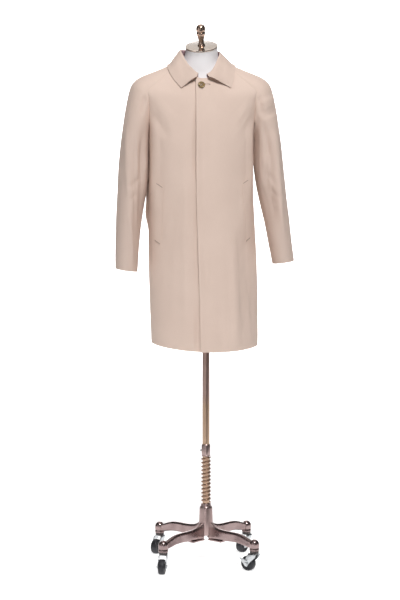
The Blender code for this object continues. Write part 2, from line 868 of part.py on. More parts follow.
def cap_frame():
    lean = Matrix.Rotation(CAP_ROLL, 4, "Y") @ Matrix.Rotation(CAP_TILT, 4, "X")
    return Matrix.Translation(Vector(CAP_CENTRE)) @ lean


def neck_ring(below):
    """A ring of the form's neck, square to the cap's axis and a distance below it."""
    ring = []
    for i in range(FORM_COLUMNS):
        angle = 2 * math.pi * i / FORM_COLUMNS
        x = NECK_HALF_WIDTH * math.sin(angle)
        y = -NECK_HALF_DEPTH * math.cos(angle)
        ring.append(cap_frame() @ Vector((x, y, -below)))
    return ring


def build_form(root):
    shift = Vector((SWAY_TOP, 0, 0))
    rings = [form_ring(row) for row in FORM] + [neck_ring(NECK_BAND), neck_ring(SEAM_GAP)]
    lean = read_table(SWAY, FORM[0][1])[0]
    placed = []
    for ring in rings:
        share = ease(FORM[0][1], SWAY[-1][0], ring[0].z)
        placed.append([point + shift * share + Vector((lean * (1 - share), 0, 0)) for point in ring])
    bm = bmesh.new()
    loft(bm, placed)
    add_object("form", bm, "jersey", root)

    cap = turned(CAP, 28)
    knob = turned(FINIAL, 18)
    place = Matrix.Translation(shift) @ cap_frame()
    bmesh.ops.transform(cap, matrix=place, verts=cap.verts)
    lifted = place @ Matrix.Translation((0, 0, CAP[-1][0] + SEAM_GAP))
    bmesh.ops.transform(knob, matrix=lifted, verts=knob.verts)
    add_object("neck_cap", cap, "champagne", root)
    add_object("finial", knob, "champagne", root)


# Stand

def spring_rings(sides=5, steps=10):
    """Rings of the wire along a helix with its ends laid flat."""
    rings = []
    height = SPRING_TOP - SPRING_FOOT - 2 * SPRING_WIRE
    total = SPRING_TURNS * steps
    for i in range(total + 1):
        turn = 2 * math.pi * i / steps
        out = Vector((math.cos(turn), math.sin(turn), 0))
        centre = out * SPRING_RADIUS
        centre.z = SPRING_FOOT + SPRING_WIRE + height * i / total
        ring = []
        for k in range(sides):
            angle = 2 * math.pi * k / sides
            ring.append(centre + (out * math.cos(angle) + Vector((0, 0, math.sin(angle)))) * SPRING_WIRE)
        rings.append(ring)
    return rings


def build_mast(root):
    top = FORM[0][1] - SEAM_GAP
    pole = ((POLE_FOOT, POLE_RADIUS), (top, POLE_RADIUS))
    add_object("pole", turned(pole, 24), "bronze", root)
    add_object("stop_collar", turned(STOP, 24, BORE_RADIUS), "bronze", root)
    screw = turned(((0, SCREW_RADIUS), (SCREW_LENGTH, SCREW_RADIUS)), 12)
    place = Matrix.Translation((-STOP[1][1] - SEAM_GAP, 0, SCREW_HEIGHT))
    lying = place @ Matrix.Rotation(math.radians(-90), 4, "Y")
    bmesh.ops.transform(screw, matrix=lying, verts=screw.verts)
    add_object("set_screw", screw, "bronze", root)
    spring = bmesh.new()
    loft(spring, spring_rings())
    add_object("spring", spring, "bronze", root)


def leg_section(distance, height, half_height, half_width, sides=10):
    """A rounded upright section of a leg that runs out along +X."""
    ring = []
    for i in range(sides):
        angle = 2 * math.pi * (i + 0.5) / sides
        y = math.copysign(abs(math.cos(angle)) ** LEG_ROUNDING, math.cos(angle)) * half_width
        z = math.copysign(abs(math.sin(angle)) ** LEG_ROUNDING, math.sin(angle)) * half_height
        ring.append(Vector((distance, y, height + z)))
    return ring


def build_leg(root, corner, direction):
    arm = bmesh.new()
    loft(arm, [leg_section(*row) for row in LEG])
    boss = turned(BOSS, 16)
    bmesh.ops.transform(boss, matrix=Matrix.Translation((LEG_REACH, 0, 0)), verts=boss.verts)
    leg = add_object("leg_" + corner, arm, "rose_bronze", root)
    knob = add_object("boss_cutter_" + corner, boss, "rose_bronze", root)
    for item in (leg, knob):
        item.rotation_euler.z = math.radians(direction)
    knob.hide_render = True
    knob.display_type = "WIRE"
    join = leg.modifiers.new("boss", "BOOLEAN")
    join.operation = "UNION"
    join.object = knob


def fork_grid():
    """Outer points of a castor fork: up one cheek, over the crown and down the other."""
    path = []
    for height, _, _ in FORK[:-1]:
        path.append((FORK_HALF_WIDTH, height))
    for degrees in (0, 30, 60, 90):
        turn = math.radians(degrees)
        across = FORK_HALF_WIDTH - FORK_CORNER + FORK_CORNER * math.cos(turn)
        path.append((across, FORK_TOP - FORK_CORNER + FORK_CORNER * math.sin(turn)))
    stations = [(-across, height) for across, height in path] + path[::-1]
    grid = []
    for across, height in stations:
        middle, half = read_table(FORK, height)
        grid.append([Vector((middle + half * k, across, height)) for k in (-1, 0, 1)])
    return grid


def build_castor(root, corner, direction, heading):
    angle = math.radians(direction)
    swivel = Vector((LEG_REACH * math.cos(angle), LEG_REACH * math.sin(angle), 0))
    turn = Matrix.Rotation(math.radians(heading), 4, "Z")
    seat = turned(((SEAT_FOOT, SEAT_RADIUS), (SEAT_TOP, SEAT_RADIUS)), 20)
    add_object("castor_seat_" + corner, seat, "dark_steel", root, swivel)

    grid = fork_grid()
    fork = sheet(grid, grid_normals(grid, 1), FORK_WALL)
    bmesh.ops.transform(fork, matrix=turn, verts=fork.verts)
    add_object("castor_fork_" + corner, fork, "zinc", root, swivel)

    lying = turn @ Matrix.Rotation(math.radians(90), 4, "X")
    centre = swivel + turn @ Vector((TRAIL, 0, FLOOR + WHEEL_RADIUS))
    half = FORK_HALF_WIDTH - FORK_WALL - SEAM_GAP
    axle = turned(((-half, AXLE_RADIUS), (half, AXLE_RADIUS)), 12)
    bmesh.ops.transform(axle, matrix=lying, verts=axle.verts)
    add_object("castor_axle_" + corner, axle, "zinc", root, centre)

    wheel = turned(TYRE, 20, WHEEL_BORE)
    bmesh.ops.transform(wheel, matrix=lying, verts=wheel.verts)
    add_object("castor_wheel_" + corner, wheel, "rubber", root, centre)

    if corner == BRAKE_CORNER:
        inner = FORK_HALF_WIDTH + SEAM_GAP
        rings = [[Vector((along, across, up)) for along, up in BRAKE_TAB] for across in (inner, inner + BRAKE_WALL)]
        tab = bmesh.new()
        loft(tab, rings)
        bmesh.ops.recalc_face_normals(tab, faces=tab.faces)
        bmesh.ops.transform(tab, matrix=turn, verts=tab.verts)
        add_object("castor_brake_" + corner, tab, "zinc", root, centre)


def build_base(root):
    add_object("hub", turned(HUB, 24, BORE_RADIUS), "rose_bronze", root)
    for corner, (direction, heading) in CORNERS.items():
        build_leg(root, corner, direction)
        build_castor(root, corner, direction, heading)


def build():
    clear_scene()
    root = bpy.data.objects.new("stand_axis", None)
    root.location = (STAND_X, STAND_Y, -FLOOR)
    bpy.context.collection.objects.link(root)
    build_coat(root)
    build_form(root)
    build_mast(root)
    build_base(root)


build()
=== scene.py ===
"""The looks of a raglan overcoat on its dress form and castor stand.

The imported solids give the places, and each section's own values give the sizes and colours. A section
is one piece or a group of like pieces, in the order in which the stand is put together and dressed.
"""
import json
import math

import bpy
import numpy as np
from mathutils import Matrix, Vector
from mathutils.kdtree import KDTree


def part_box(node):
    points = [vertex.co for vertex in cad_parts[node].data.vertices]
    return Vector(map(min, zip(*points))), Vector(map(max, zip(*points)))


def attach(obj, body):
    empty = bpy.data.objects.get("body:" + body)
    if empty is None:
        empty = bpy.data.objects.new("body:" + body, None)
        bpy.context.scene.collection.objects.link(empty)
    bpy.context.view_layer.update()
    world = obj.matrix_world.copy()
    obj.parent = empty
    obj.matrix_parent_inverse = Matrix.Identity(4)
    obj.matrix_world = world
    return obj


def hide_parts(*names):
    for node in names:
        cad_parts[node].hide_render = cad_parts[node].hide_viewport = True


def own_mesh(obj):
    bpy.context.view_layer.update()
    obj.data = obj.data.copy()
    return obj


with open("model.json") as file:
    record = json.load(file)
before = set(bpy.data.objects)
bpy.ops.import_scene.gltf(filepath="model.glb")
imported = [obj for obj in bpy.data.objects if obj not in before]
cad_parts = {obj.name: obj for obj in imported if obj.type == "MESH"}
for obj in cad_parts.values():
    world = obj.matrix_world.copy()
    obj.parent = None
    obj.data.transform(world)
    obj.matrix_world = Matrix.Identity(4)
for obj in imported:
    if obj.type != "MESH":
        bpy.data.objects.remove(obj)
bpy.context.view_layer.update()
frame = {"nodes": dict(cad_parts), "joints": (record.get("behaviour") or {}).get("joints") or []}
joints = {joint["name"]: joint for joint in frame["joints"]}

# Castor wheels: black rubber tyres, 51 mm across, moulded on a plain centre with a bore.
# Each turns on its axle between the cheeks of a fork.

CORNERS = ("front_left", "front_right", "back_left", "back_right")
TYRE_STEPS = 72
SPIN_MERGE = 0.00001
RUBBER, RUBBER_DUST = (0.013, 0.013, 0.017), (0.042, 0.042, 0.049)


class Wire:
    """A value in a material; plain maths on it adds Math nodes."""

    def __init__(self, tree, socket=None):
        self.tree = tree
        self.socket = socket

    def add(self, kind, settings, inputs, output=0):
        """A node of a kind: its settings are made first, then its sockets' values or links."""
        node = self.tree.nodes.new(kind)
        for name, value in settings.items():
            setattr(node, name, value)
        for name, value in inputs.items():
            if isinstance(value, Wire):
                self.tree.links.new(value.socket, node.inputs[name])
            else:
                node.inputs[name].default_value = value
        return Wire(self.tree, node.outputs[output])

    def maths(self, operation, first, second):
        return self.add("ShaderNodeMath", {"operation": operation}, {0: first, 1: second})

    def __add__(self, other):
        return self.maths("ADD", self, other)

    __radd__ = __add__

    def __sub__(self, other):
        return self.maths("SUBTRACT", self, other)

    def __rsub__(self, other):
        return self.maths("SUBTRACT", other, self)

    def __mul__(self, other):
        return self.maths("MULTIPLY", self, other)

    __rmul__ = __mul__

    def noise(self, scale, detail=3.0, stretch=(1.0, 1.0, 1.0)):
        """Even noise from 0 to 1 over these coordinates."""
        place = self.add("ShaderNodeMapping", {}, {"Vector": self, "Scale": stretch})
        return self.add("ShaderNodeTexNoise", {}, {"Vector": place, "Scale": scale, "Detail": detail})

    def between(self, low, high):
        """This value read from low to high as 0 to 1, held at both ends."""
        inputs = {"Value": self, "From Min": low, "From Max": high}
        return self.add("ShaderNodeMapRange", {"clamp": True}, inputs)

    def blend(self, first, second):
        """A colour that goes from the first to the second as this value goes from 0 to 1."""
        colours = [c if isinstance(c, Wire) else (*c, 1.0) for c in (first, second)]
        inputs = {0: self, 6: colours[0], 7: colours[1]}
        return self.add("ShaderNodeMix", {"data_type": "RGBA"}, inputs, 2)

    def bump(self, depth, strength=1.0):
        """A normal pushed out by this value, with the depth in metres."""
        return self.add("ShaderNodeBump", {}, {"Height": self, "Distance": depth, "Strength": strength})


def new_finish(name, even, coordinates="Object"):
    """A material with its shader's even values set, and a wire from the coordinates that it reads."""
    material = bpy.data.materials.new(name)
    material.use_nodes = True
    shader = material.node_tree.nodes["Principled BSDF"]
    for socket, value in even.items():
        shader.inputs[socket].default_value = value
    return material, Wire(material.node_tree).add("ShaderNodeTexCoord", {}, {}, coordinates)


def feed(material, links):
    """Links wires to the sockets of a material's shader."""
    shader = material.node_tree.nodes["Principled BSDF"]
    for socket, wire in links.items():
        material.node_tree.links.new(wire.socket, shader.inputs[socket])
    return material


def pick(piece):
    """Makes a piece the only one that is selected, and the active one."""
    bpy.ops.object.select_all(action="DESELECT")
    piece.select_set(True)
    bpy.context.view_layer.objects.active = piece


def begin(name, add, **sizes):
    """Adds the primitive that a piece starts from, with nothing else selected."""
    bpy.ops.object.select_all(action="DESELECT")
    add(**sizes)
    piece = bpy.context.object
    piece.name = name
    return piece


def modify(piece, kind, **settings):
    """Adds a modifier with these settings and applies it."""
    modifier = piece.modifiers.new(kind.lower(), kind)
    for name, value in settings.items():
        setattr(modifier, name, value)
    pick(piece)
    bpy.ops.object.modifier_apply(modifier=modifier.name)


def smooth(piece, degrees=35):
    pick(piece)
    bpy.ops.object.shade_smooth_by_angle(angle=math.radians(degrees))


def turn(name, profile, steps, ring=False):
    """A turned piece: (height, radius) points drawn one after another from a corner, spun about Z."""
    piece = begin(name, bpy.ops.mesh.primitive_plane_add)
    bpy.ops.object.mode_set(mode="EDIT")
    bpy.ops.mesh.select_mode(type="VERT")
    bpy.ops.mesh.select_all(action="SELECT")
    bpy.ops.mesh.merge(type="CENTER")
    points = [Vector((radius, 0, height)) for height, radius in profile]
    bpy.ops.transform.translate(value=points[0])
    path = points + points[:1] if ring else points
    for start, end in zip(path, path[1:]):
        bpy.ops.mesh.extrude_region_move(TRANSFORM_OT_translate={"value": end - start})
    bpy.ops.mesh.select_all(action="SELECT")
    bpy.ops.mesh.spin(steps=steps, angle=2 * math.pi, center=(0, 0, 0), axis=(0, 0, 1))
    bpy.ops.mesh.select_all(action="SELECT")
    bpy.ops.mesh.remove_doubles(threshold=SPIN_MERGE)
    bpy.ops.mesh.normals_make_consistent(inside=False)
    bpy.ops.object.mode_set(mode="OBJECT")
    return piece


def soften(piece, width, segments=3, degrees=30):
    """Rounds the sharp edges of a piece and smooths its shading."""
    modify(
        piece, "BEVEL", width=width, segments=segments, limit_method="ANGLE",
        angle_limit=math.radians(degrees), use_clamp_overlap=True,
    )
    smooth(piece)


def join(first, *others):
    """Joins pieces into the first one."""
    pick(first)
    for other in others:
        other.select_set(True)
    bpy.ops.object.join()
    return first


def hand_over(piece, material, body, slot, *nodes):
    """Gives a piece its finish, its body and the solids that it stands for; the slot is not used."""
    piece.data.materials.clear()
    piece.data.materials.append(material)
    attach(piece, body)
    if nodes:
        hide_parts(*nodes)
    return piece


def axle_frame(corner):
    """The place of a castor's wheel, with Z along its axle and X towards the floor."""
    joint = joints["roll_" + corner]
    along = Vector(joint["axis"])
    down = Vector((0, 0, -1))
    turned = Matrix((down, along.cross(down), along)).transposed().to_4x4()
    return Matrix.Translation(Vector(joint["pos_m"])) @ turned


# Half a tyre's section from the tread to the bore: place along the axle, radius
TYRE = (
    (0.0000, 0.0255),
    (0.0040, 0.0255),
    (0.0072, 0.0251),
    (0.0094, 0.0240),
    (0.0104, 0.0222),
    (0.0106, 0.0196),
    (0.0098, 0.0186),
    (0.0098, 0.0110),
    (0.0110, 0.0100),
    (0.0110, 0.0037),
)


def tyre_finish():
    even = {"Metallic": 0.0, "Specular IOR Level": 0.45}
    material, place = new_finish("tyre_rubber", even)
    dust = place.noise(60.0, 4.0).between(0.45, 0.75)
    grain = place.noise(900.0, 2.0)
    return feed(material, {
        "Base Color": dust.blend(RUBBER, RUBBER_DUST),
        "Roughness": 0.42 + 0.25 * dust,
        "Normal": grain.bump(0.0001, 0.35),
    })


tyre_rubber = tyre_finish()
tyre_section = TYRE + tuple((-height, radius) for height, radius in TYRE[:0:-1])
for corner in CORNERS:
    wheel = turn("tyre_" + corner, tyre_section, TYRE_STEPS, ring=True)
    smooth(wheel, degrees=40)
    wheel.data.transform(axle_frame(corner))
    hand_over(wheel, tyre_rubber, "wheel_" + corner, "rubber", "castor_wheel_" + corner)

# Castor forks, axles and brake tab: pressed zinc-plated steel, bent over the wheel, with a bolt through
# both cheeks held by a hexagon nut and a round head. One castor has a brake tab under its bolt's head.

FORK_HALF_WIDTH = 0.0146
FORK_EDGE = 0.0006
NUT_RADIUS = 0.0062
NUT_HEIGHT = 0.0034
NUT_EDGE = 0.0009
NUT_SIDES, HEAD_SIDES = 6, 32
BRAKE_CORNER = "front_left"
BRAKE_STACK = 0.0019
CHEEK_CLEAR = 0.0001
TAB_EDGE = 0.0005
ZINC, ZINC_STAIN = (0.56, 0.575, 0.59), (0.39, 0.400, 0.42)
MERGE = 0.00002
QUAD_LIMIT = math.radians(60)


def take(node, name):
    """A merged copy of a solid's mesh as a new piece, with its triangles joined to quads."""
    piece = bpy.data.objects.new(name, frame["nodes"][node].data.copy())
    bpy.context.collection.objects.link(piece)
    pick(piece)
    bpy.ops.mesh.customdata_custom_splitnormals_clear()
    bpy.ops.object.mode_set(mode="EDIT")
    bpy.ops.mesh.select_all(action="SELECT")
    bpy.ops.mesh.mark_sharp(clear=True)
    bpy.ops.mesh.remove_doubles(threshold=MERGE)
    bpy.ops.mesh.tris_convert_to_quads(face_threshold=QUAD_LIMIT, shape_threshold=QUAD_LIMIT)
    bpy.ops.object.mode_set(mode="OBJECT")
    return piece


def zinc_finish():
    even = {"Metallic": 1.0}
    material, place = new_finish("zinc_plate", even)
    spangle = place.noise(140.0, 3.0)
    stain = place.noise(38.0, 4.0).between(0.5, 0.8)
    return feed(material, {
        "Base Color": stain.blend(ZINC, ZINC_STAIN),
        "Roughness": 0.20 + 0.16 * spangle + 0.10 * stain,
        "Normal": spangle.bump(0.0002, 0.10),
    })


def axle_nut(name, sides):
    """A nut or a bolt's head, added as a prism and rounded at its edges."""
    size = {"vertices": sides, "radius": NUT_RADIUS, "depth": NUT_HEIGHT}
    piece = begin(name, bpy.ops.mesh.primitive_cylinder_add, **size)
    soften(piece, NUT_EDGE)
    return piece


zinc_plate = zinc_finish()
for corner in CORNERS:
    fork = take("castor_fork_" + corner, "fork_" + corner)
    soften(fork, FORK_EDGE, segments=2, degrees=40)
    place = axle_frame(corner)
    seat = FORK_HALF_WIDTH + CHEEK_CLEAR + NUT_HEIGHT / 2
    stack = BRAKE_STACK if corner == BRAKE_CORNER else 0.0
    nut = axle_nut("nut", NUT_SIDES)
    nut.data.transform(place @ Matrix.Translation((0, 0, seat)))
    head = axle_nut("head", HEAD_SIDES)
    head.data.transform(place @ Matrix.Translation((0, 0, -seat - stack)))
    bolt = take("castor_axle_" + corner, "bolt")
    smooth(bolt)
    join(fork, nut, head, bolt)
    nodes = ("castor_fork_" + corner, "castor_axle_" + corner)
    hand_over(fork, zinc_plate, "castor_" + corner, "zinc", *nodes)
tab = take("castor_brake_" + BRAKE_CORNER, "brake_tab")
soften(tab, TAB_EDGE, degrees=40)
hand_over(tab, zinc_plate, "castor_" + BRAKE_CORNER, "zinc", "castor_brake_" + BRAKE_CORNER)

# Castor seats: the blackened ball race between a fork's crown and the boss above it,
# two pressed rings with a groove between them.

SEAT_STEPS = 48
RACE_DARK, RACE_WORN = (0.085, 0.075, 0.075), (0.26, 0.23, 0.22)
HUB_FOOT = 0.1030
# Heights in this script's tables are over this level, a little under the floor
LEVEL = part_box("hub")[0].z - HUB_FOOT
# Race from its foot to its top: height, radius
SEAT = (
    (0.0722, 0.0000),
    (0.0722, 0.0148),
    (0.0727, 0.0153),
    (0.0742, 0.0153),
    (0.0747, 0.0146),
    (0.0760, 0.0146),
    (0.0765, 0.0153),
    (0.0783, 0.0153),
    (0.0788, 0.0148),
    (0.0788, 0.0000),
)


def race_finish():
    even = {"Metallic": 1.0}
    material, place = new_finish("blackened_race", even)
    wear = place.noise(220.0, 3.0).between(0.5, 0.72)
    return feed(material, {
        "Base Color": wear.blend(RACE_DARK, RACE_WORN),
        "Roughness": 0.46 - 0.14 * wear,
        "Normal": wear.bump(0.0002, 0.2),
    })


blackened_race = race_finish()
for corner in CORNERS:
    swivel = joints["swivel_" + corner]["pos_m"]
    race = turn("race_" + corner, SEAT, SEAT_STEPS)
    smooth(race)
    race.data.transform(Matrix.Translation((swivel[0], swivel[1], LEVEL)))
    hand_over(race, blackened_race, "base", "dark_steel", "castor_seat_" + corner)

# Base casting: a hub and four cabriole legs of rose bronze plated iron. Each leg swells at the hub,
# has a flat ledge under its root, and ends in a domed boss that takes the castor's stem.

POLE_X, POLE_Y = (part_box("hub")[0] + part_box("hub")[1]).xy / 2
LEG_SIDES = 20
# Leg along its length: distance from the pole's axis, middle height, half height, half width
LEG = (
    (0.0170, 0.1185, 0.0350, 0.0150),
    (0.0260, 0.1180, 0.0300, 0.0112),
    (0.0360, 0.1150, 0.0252, 0.0092),
    (0.0500, 0.1118, 0.0218, 0.0084),
    (0.0800, 0.1110, 0.0185, 0.0084),
    (0.1100, 0.1126, 0.0176, 0.0088),
    (0.1350, 0.1130, 0.0172, 0.0094),
    (0.1560, 0.1112, 0.0168, 0.0099),
    (0.1760, 0.1065, 0.0160, 0.0104),
    (0.1960, 0.1005, 0.0140, 0.0110),
    (0.2120, 0.0985, 0.0118, 0.0110),
)
LEG_WAIST = 0.16
LEG_SQUARE = 0.68
LEDGE_EDGE = 0.0016
BOSS_STEPS = 48
HUB_STEPS = 72
HUB_EDGE = 0.0008
# The hub's tone gives way to the legs' between these distances from the pole's axis; the legs' tone is the
# hub's bronze darkened as painted shade
LEG_SHADE_FROM, LEG_SHADE_TO = 0.024, 0.050
HUB_BRONZE, HUB_TARNISH = (0.43, 0.32, 0.305), (0.31, 0.22, 0.212)
LEG_SHADED_BRONZE, LEG_SHADED_TARNISH = (0.33, 0.247, 0.240), (0.235, 0.168, 0.165)
# Ledge under a leg's root: from, to, half width, top, foot
LEDGE = (0.0190, 0.0780, 0.0120, 0.0935, 0.0875)
# Boss on the castor's axis: height, radius
BOSS = (
    (0.0793, 0.0000),
    (0.0793, 0.0152),
    (0.0806, 0.0165),
    (0.0880, 0.0165),
    (0.0890, 0.0158),
    (0.0908, 0.0158),
    (0.0918, 0.0165),
    (0.1020, 0.0165),
    (0.1061, 0.0160),
    (0.1102, 0.0143),
    (0.1137, 0.0117),
    (0.1163, 0.0083),
    (0.1180, 0.0043),
    (0.1185, 0.0000),
)
# Hub from its foot to its top, then down its bore: height, radius
HUB = (
    (HUB_FOOT, 0.0124),
    (HUB_FOOT, 0.0215),
    (0.1050, 0.0240),
    (0.1440, 0.0243),
    (0.1500, 0.0238),
    (0.1960, 0.0222),
    (0.2000, 0.0216),
    (0.2030, 0.0200),
    (0.2042, 0.0176),
    (0.2130, 0.0170),
    (0.2130, 0.0124),
)


def casting_finish():
    even = {"Metallic": 1.0}
    material, place = new_finish("rose_bronze_casting", even)
    cast = place.noise(75.0, 5.0)
    tarnish = place.noise(16.0, 3.0).between(0.42, 0.72)
    level = place.add("ShaderNodeMapping", {}, {"Vector": place, "Scale": (1.0, 1.0, 0.0)})
    reach = place.add("ShaderNodeVectorMath", {"operation": "LENGTH"}, {0: level}, "Value")
    # Painted shade: away from the pole's axis the legs take a darker copy of the hub's bronze
    leg = reach.between(LEG_SHADE_FROM, LEG_SHADE_TO)
    hub_tone = tarnish.blend(HUB_BRONZE, HUB_TARNISH)
    shaded_leg_tone = tarnish.blend(LEG_SHADED_BRONZE, LEG_SHADED_TARNISH)
    return feed(material, {
        "Base Color": leg.blend(hub_tone, shaded_leg_tone),
        "Roughness": 0.26 + 0.09 * cast + 0.06 * tarnish - 0.08 * leg,
        "Normal": cast.bump(0.0006, 0.22),
    })


def leg_arm(name):
    """An arm along +X: a ring shaped to the leg's section, drawn out section by section."""
    piece = begin(name, bpy.ops.mesh.primitive_circle_add, vertices=LEG_SIDES, radius=1.0)
    distance, middle, half_height, half_width = LEG[0]
    for vertex in piece.data.vertices:
        across, up = [math.copysign(abs(part) ** LEG_SQUARE, part) for part in vertex.co.xy]
        pinch = 1 - LEG_WAIST * (1 - up * up) ** 2
        vertex.co = (distance, across * pinch * half_width, middle + up * half_height)
    bpy.ops.object.mode_set(mode="EDIT")
    bpy.ops.mesh.select_all(action="SELECT")
    bpy.ops.mesh.edge_face_add()
    for before, after in zip(LEG, LEG[1:]):
        move = Vector((after[0] - before[0], 0, after[1] - before[1]))
        bpy.ops.mesh.extrude_region_move(TRANSFORM_OT_translate={"value": move})
        size = (1.0, after[3] / before[3], after[2] / before[2])
        bpy.ops.transform.resize(value=size, center_override=(after[0], 0, after[1]))
    bpy.ops.mesh.select_all(action="SELECT")
    bpy.ops.mesh.normals_make_consistent(inside=False)
    bpy.ops.object.mode_set(mode="OBJECT")
    modify(piece, "SUBSURF", levels=2, render_levels=2)
    smooth(piece, degrees=60)
    return piece


def leg_ledge():
    """The flat flange under a leg's root, added as a block and rounded at its edges."""
    start, end, half_width, top, foot = LEDGE
    piece = begin("ledge", bpy.ops.mesh.primitive_cube_add, size=1.0)
    size = Matrix.Diagonal((end - start, 2 * half_width, top - foot, 1.0))
    piece.data.transform(Matrix.Translation(((start + end) / 2, 0, (top + foot) / 2)) @ size)
    soften(piece, LEDGE_EDGE)
    return piece


rose_bronze = casting_finish()
hub = turn("hub_casting", HUB, HUB_STEPS, ring=True)
soften(hub, HUB_EDGE)
hub.data.transform(Matrix.Translation((POLE_X, POLE_Y, LEVEL)))
hand_over(hub, rose_bronze, "base", "rose_bronze", "hub")
for corner in CORNERS:
    swivel = Vector(joints["swivel_" + corner]["pos_m"])
    reach = Vector((swivel.x - POLE_X, swivel.y - POLE_Y, 0))
    boss = turn("boss", BOSS, BOSS_STEPS)
    smooth(boss)
    boss.data.transform(Matrix.Translation((reach.length, 0, 0)))
    leg = join(leg_arm("leg_casting_" + corner), leg_ledge(), boss)
    aim = Matrix.Rotation(math.atan2(reach.y, reach.x), 4, "Z")
    leg.data.transform(Matrix.Translation((POLE_X, POLE_Y, LEVEL)) @ aim)
    hand_over(leg, rose_bronze, "base", "rose_bronze", "leg_" + corner)

# Pole: a drawn bronze tube that slides in the hub's bore and carries the form on its end.
# Its lower part is a warmer gold.

POLE_STEPS = 64
POLE_RADIUS = 0.0120
POLE_EDGE = 0.0006
POLE_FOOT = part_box("pole")[0].z
POLE_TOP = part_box("pole")[1].z
POLE_BRONZE, POLE_GOLD = (0.48, 0.33, 0.290), (0.46, 0.318, 0.230)
POLE_ROUGHNESS = 0.28
AGED = 0.8
# The gold comes in between these heights, from above
GOLD_FROM = 0.580
GOLD_TO = 0.540


def pole_finish(name, base, lower_colour, roughness):
    material, place = new_finish(name, {"Metallic": 1.0})
    height = place.add("ShaderNodeSeparateXYZ", {}, {"Vector": place}, "Z")
    drawn = place.noise(420.0, 3.0, (1.0, 1.0, 0.02))
    age = place.noise(24.0, 3.0)
    gold = height.between(GOLD_FROM, GOLD_TO)
    aged = age.between(0.3, 0.8).blend(base, [AGED * part for part in base])
    return feed(material, {
        "Base Color": gold.blend(aged, lower_colour),
        "Roughness": roughness + 0.10 * drawn + 0.05 * age,
        "Normal": drawn.bump(0.0001, 0.12),
    })


pole_bronze = pole_finish("pole_bronze", POLE_BRONZE, POLE_GOLD, POLE_ROUGHNESS)
tube = (
    (POLE_FOOT, 0.0),
    (POLE_FOOT, POLE_RADIUS),
    (POLE_TOP, POLE_RADIUS),
    (POLE_TOP, 0.0),
)
pole = turn("pole_tube", tube, POLE_STEPS)
soften(pole, POLE_EDGE)
pole.data.transform(Matrix.Translation((POLE_X, POLE_Y, 0)))
hand_over(pole, pole_bronze, "dressed_form", "bronze", "pole")

# Spring: oval bronze wire wound round the pole between the hub and the stop collar.

SPRING_FOOT, SPRING_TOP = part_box("spring")[0].z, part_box("spring")[1].z
SPRING_RADIUS = 0.0150
SPRING_THICK = 0.0017
SPRING_TALL = 0.0030
SPRING_TURNS = 12
SPRING_STEPS = 28
SPRING_ROUND = 4
SPRING_BRONZE = (0.33, 0.205, 0.145)
SPRING_ROUGHNESS = 0.30

section = begin("wire_section", bpy.ops.curve.primitive_bezier_circle_add, radius=1.0)
section.data.transform(Matrix.Diagonal((SPRING_THICK, SPRING_TALL, 1.0, 1.0)))
section.data.resolution_u = SPRING_ROUND
spring = begin("spring_wire", bpy.ops.curve.primitive_nurbs_path_add)
spring.data.splines.clear()
coil = spring.data.splines.new("POLY")
coil.points.add(SPRING_TURNS * SPRING_STEPS)
rise = SPRING_TOP - SPRING_FOOT - 2 * SPRING_TALL
for i, point in enumerate(coil.points):
    angle = 2 * math.pi * i / SPRING_STEPS
    share = i / (len(coil.points) - 1)
    level = SPRING_FOOT + SPRING_TALL + rise * share
    out = Vector((math.cos(angle), math.sin(angle), 0)) * SPRING_RADIUS
    point.co = (POLE_X + out.x, POLE_Y + out.y, level, 1.0)
spring.data.dimensions = "3D"
spring.data.twist_mode = "Z_UP"
spring.data.bevel_mode = "OBJECT"
spring.data.bevel_object = section
spring.data.use_fill_caps = True
pick(spring)
bpy.ops.object.convert(target="MESH")
bpy.data.objects.remove(section)
smooth(spring, degrees=60)
spring_bronze = pole_finish("spring_bronze", SPRING_BRONZE, SPRING_BRONZE, SPRING_ROUGHNESS)
hand_over(spring, spring_bronze, "base", "bronze", "spring")
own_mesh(spring)

# Stop collar and set screw: a turned bronze sleeve on the pole that rests on the spring,
# clamped by a small knurled screw on its side.

# Collar from its foot to its top, then down its bore: height, radius
STOP = (
    (0.3762, 0.0123),
    (0.3762, 0.0140),
    (0.3772, 0.0152),
    (0.3800, 0.0152),
    (0.3808, 0.0146),
    (0.3820, 0.0146),
    (0.3828, 0.0152),
    (0.4130, 0.0152),
    (0.4155, 0.0144),
    (0.4178, 0.0132),
    (0.4178, 0.0123),
)
STOP_EDGE = 0.0003
SCREW_RADIUS = 0.0026
SCREW_EDGE = 0.0002
SCREW_KNURLS = 16
KNURL_FOOT = 0.88

stop = turn("stop_sleeve", STOP, POLE_STEPS, ring=True)
soften(stop, STOP_EDGE)
stop.data.transform(Matrix.Translation((POLE_X, POLE_Y, LEVEL)))
hand_over(stop, rose_bronze, "dressed_form", "bronze", "stop_collar")

low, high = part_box("set_screw")
size = {"vertices": 2 * SCREW_KNURLS, "radius": SCREW_RADIUS, "depth": high.x - low.x}
screw = begin("knurled_screw", bpy.ops.mesh.primitive_cylinder_add, **size)
for i, vertex in enumerate(screw.data.vertices):
    if (i // 2) % 2:
        vertex.co.x *= KNURL_FOOT
        vertex.co.y *= KNURL_FOOT
soften(screw, SCREW_EDGE, segments=2)
lying = Matrix.Rotation(math.radians(90), 4, "Y")
screw.data.transform(Matrix.Translation((low + high) / 2) @ lying)
hand_over(screw, blackened_race, "dressed_form", "bronze", "set_screw")

# Dress form: a light torso shell covered in stretched white jersey, closed below by a flat board.
# Only its neck shows above the coat.

JERSEY_SHADE, JERSEY_PALE = (0.83, 0.80, 0.805), (0.88, 0.855, 0.86)


def crease_sharp(piece, degrees):
    """Keeps a piece's sharp edges sharp when it is subdivided."""
    pick(piece)
    bpy.ops.object.mode_set(mode="EDIT")
    bpy.ops.mesh.select_mode(type="EDGE")
    bpy.ops.mesh.select_all(action="DESELECT")
    bpy.ops.mesh.edges_select_sharp(sharpness=math.radians(degrees))
    bpy.ops.transform.edge_crease(value=1.0)
    bpy.ops.object.mode_set(mode="OBJECT")


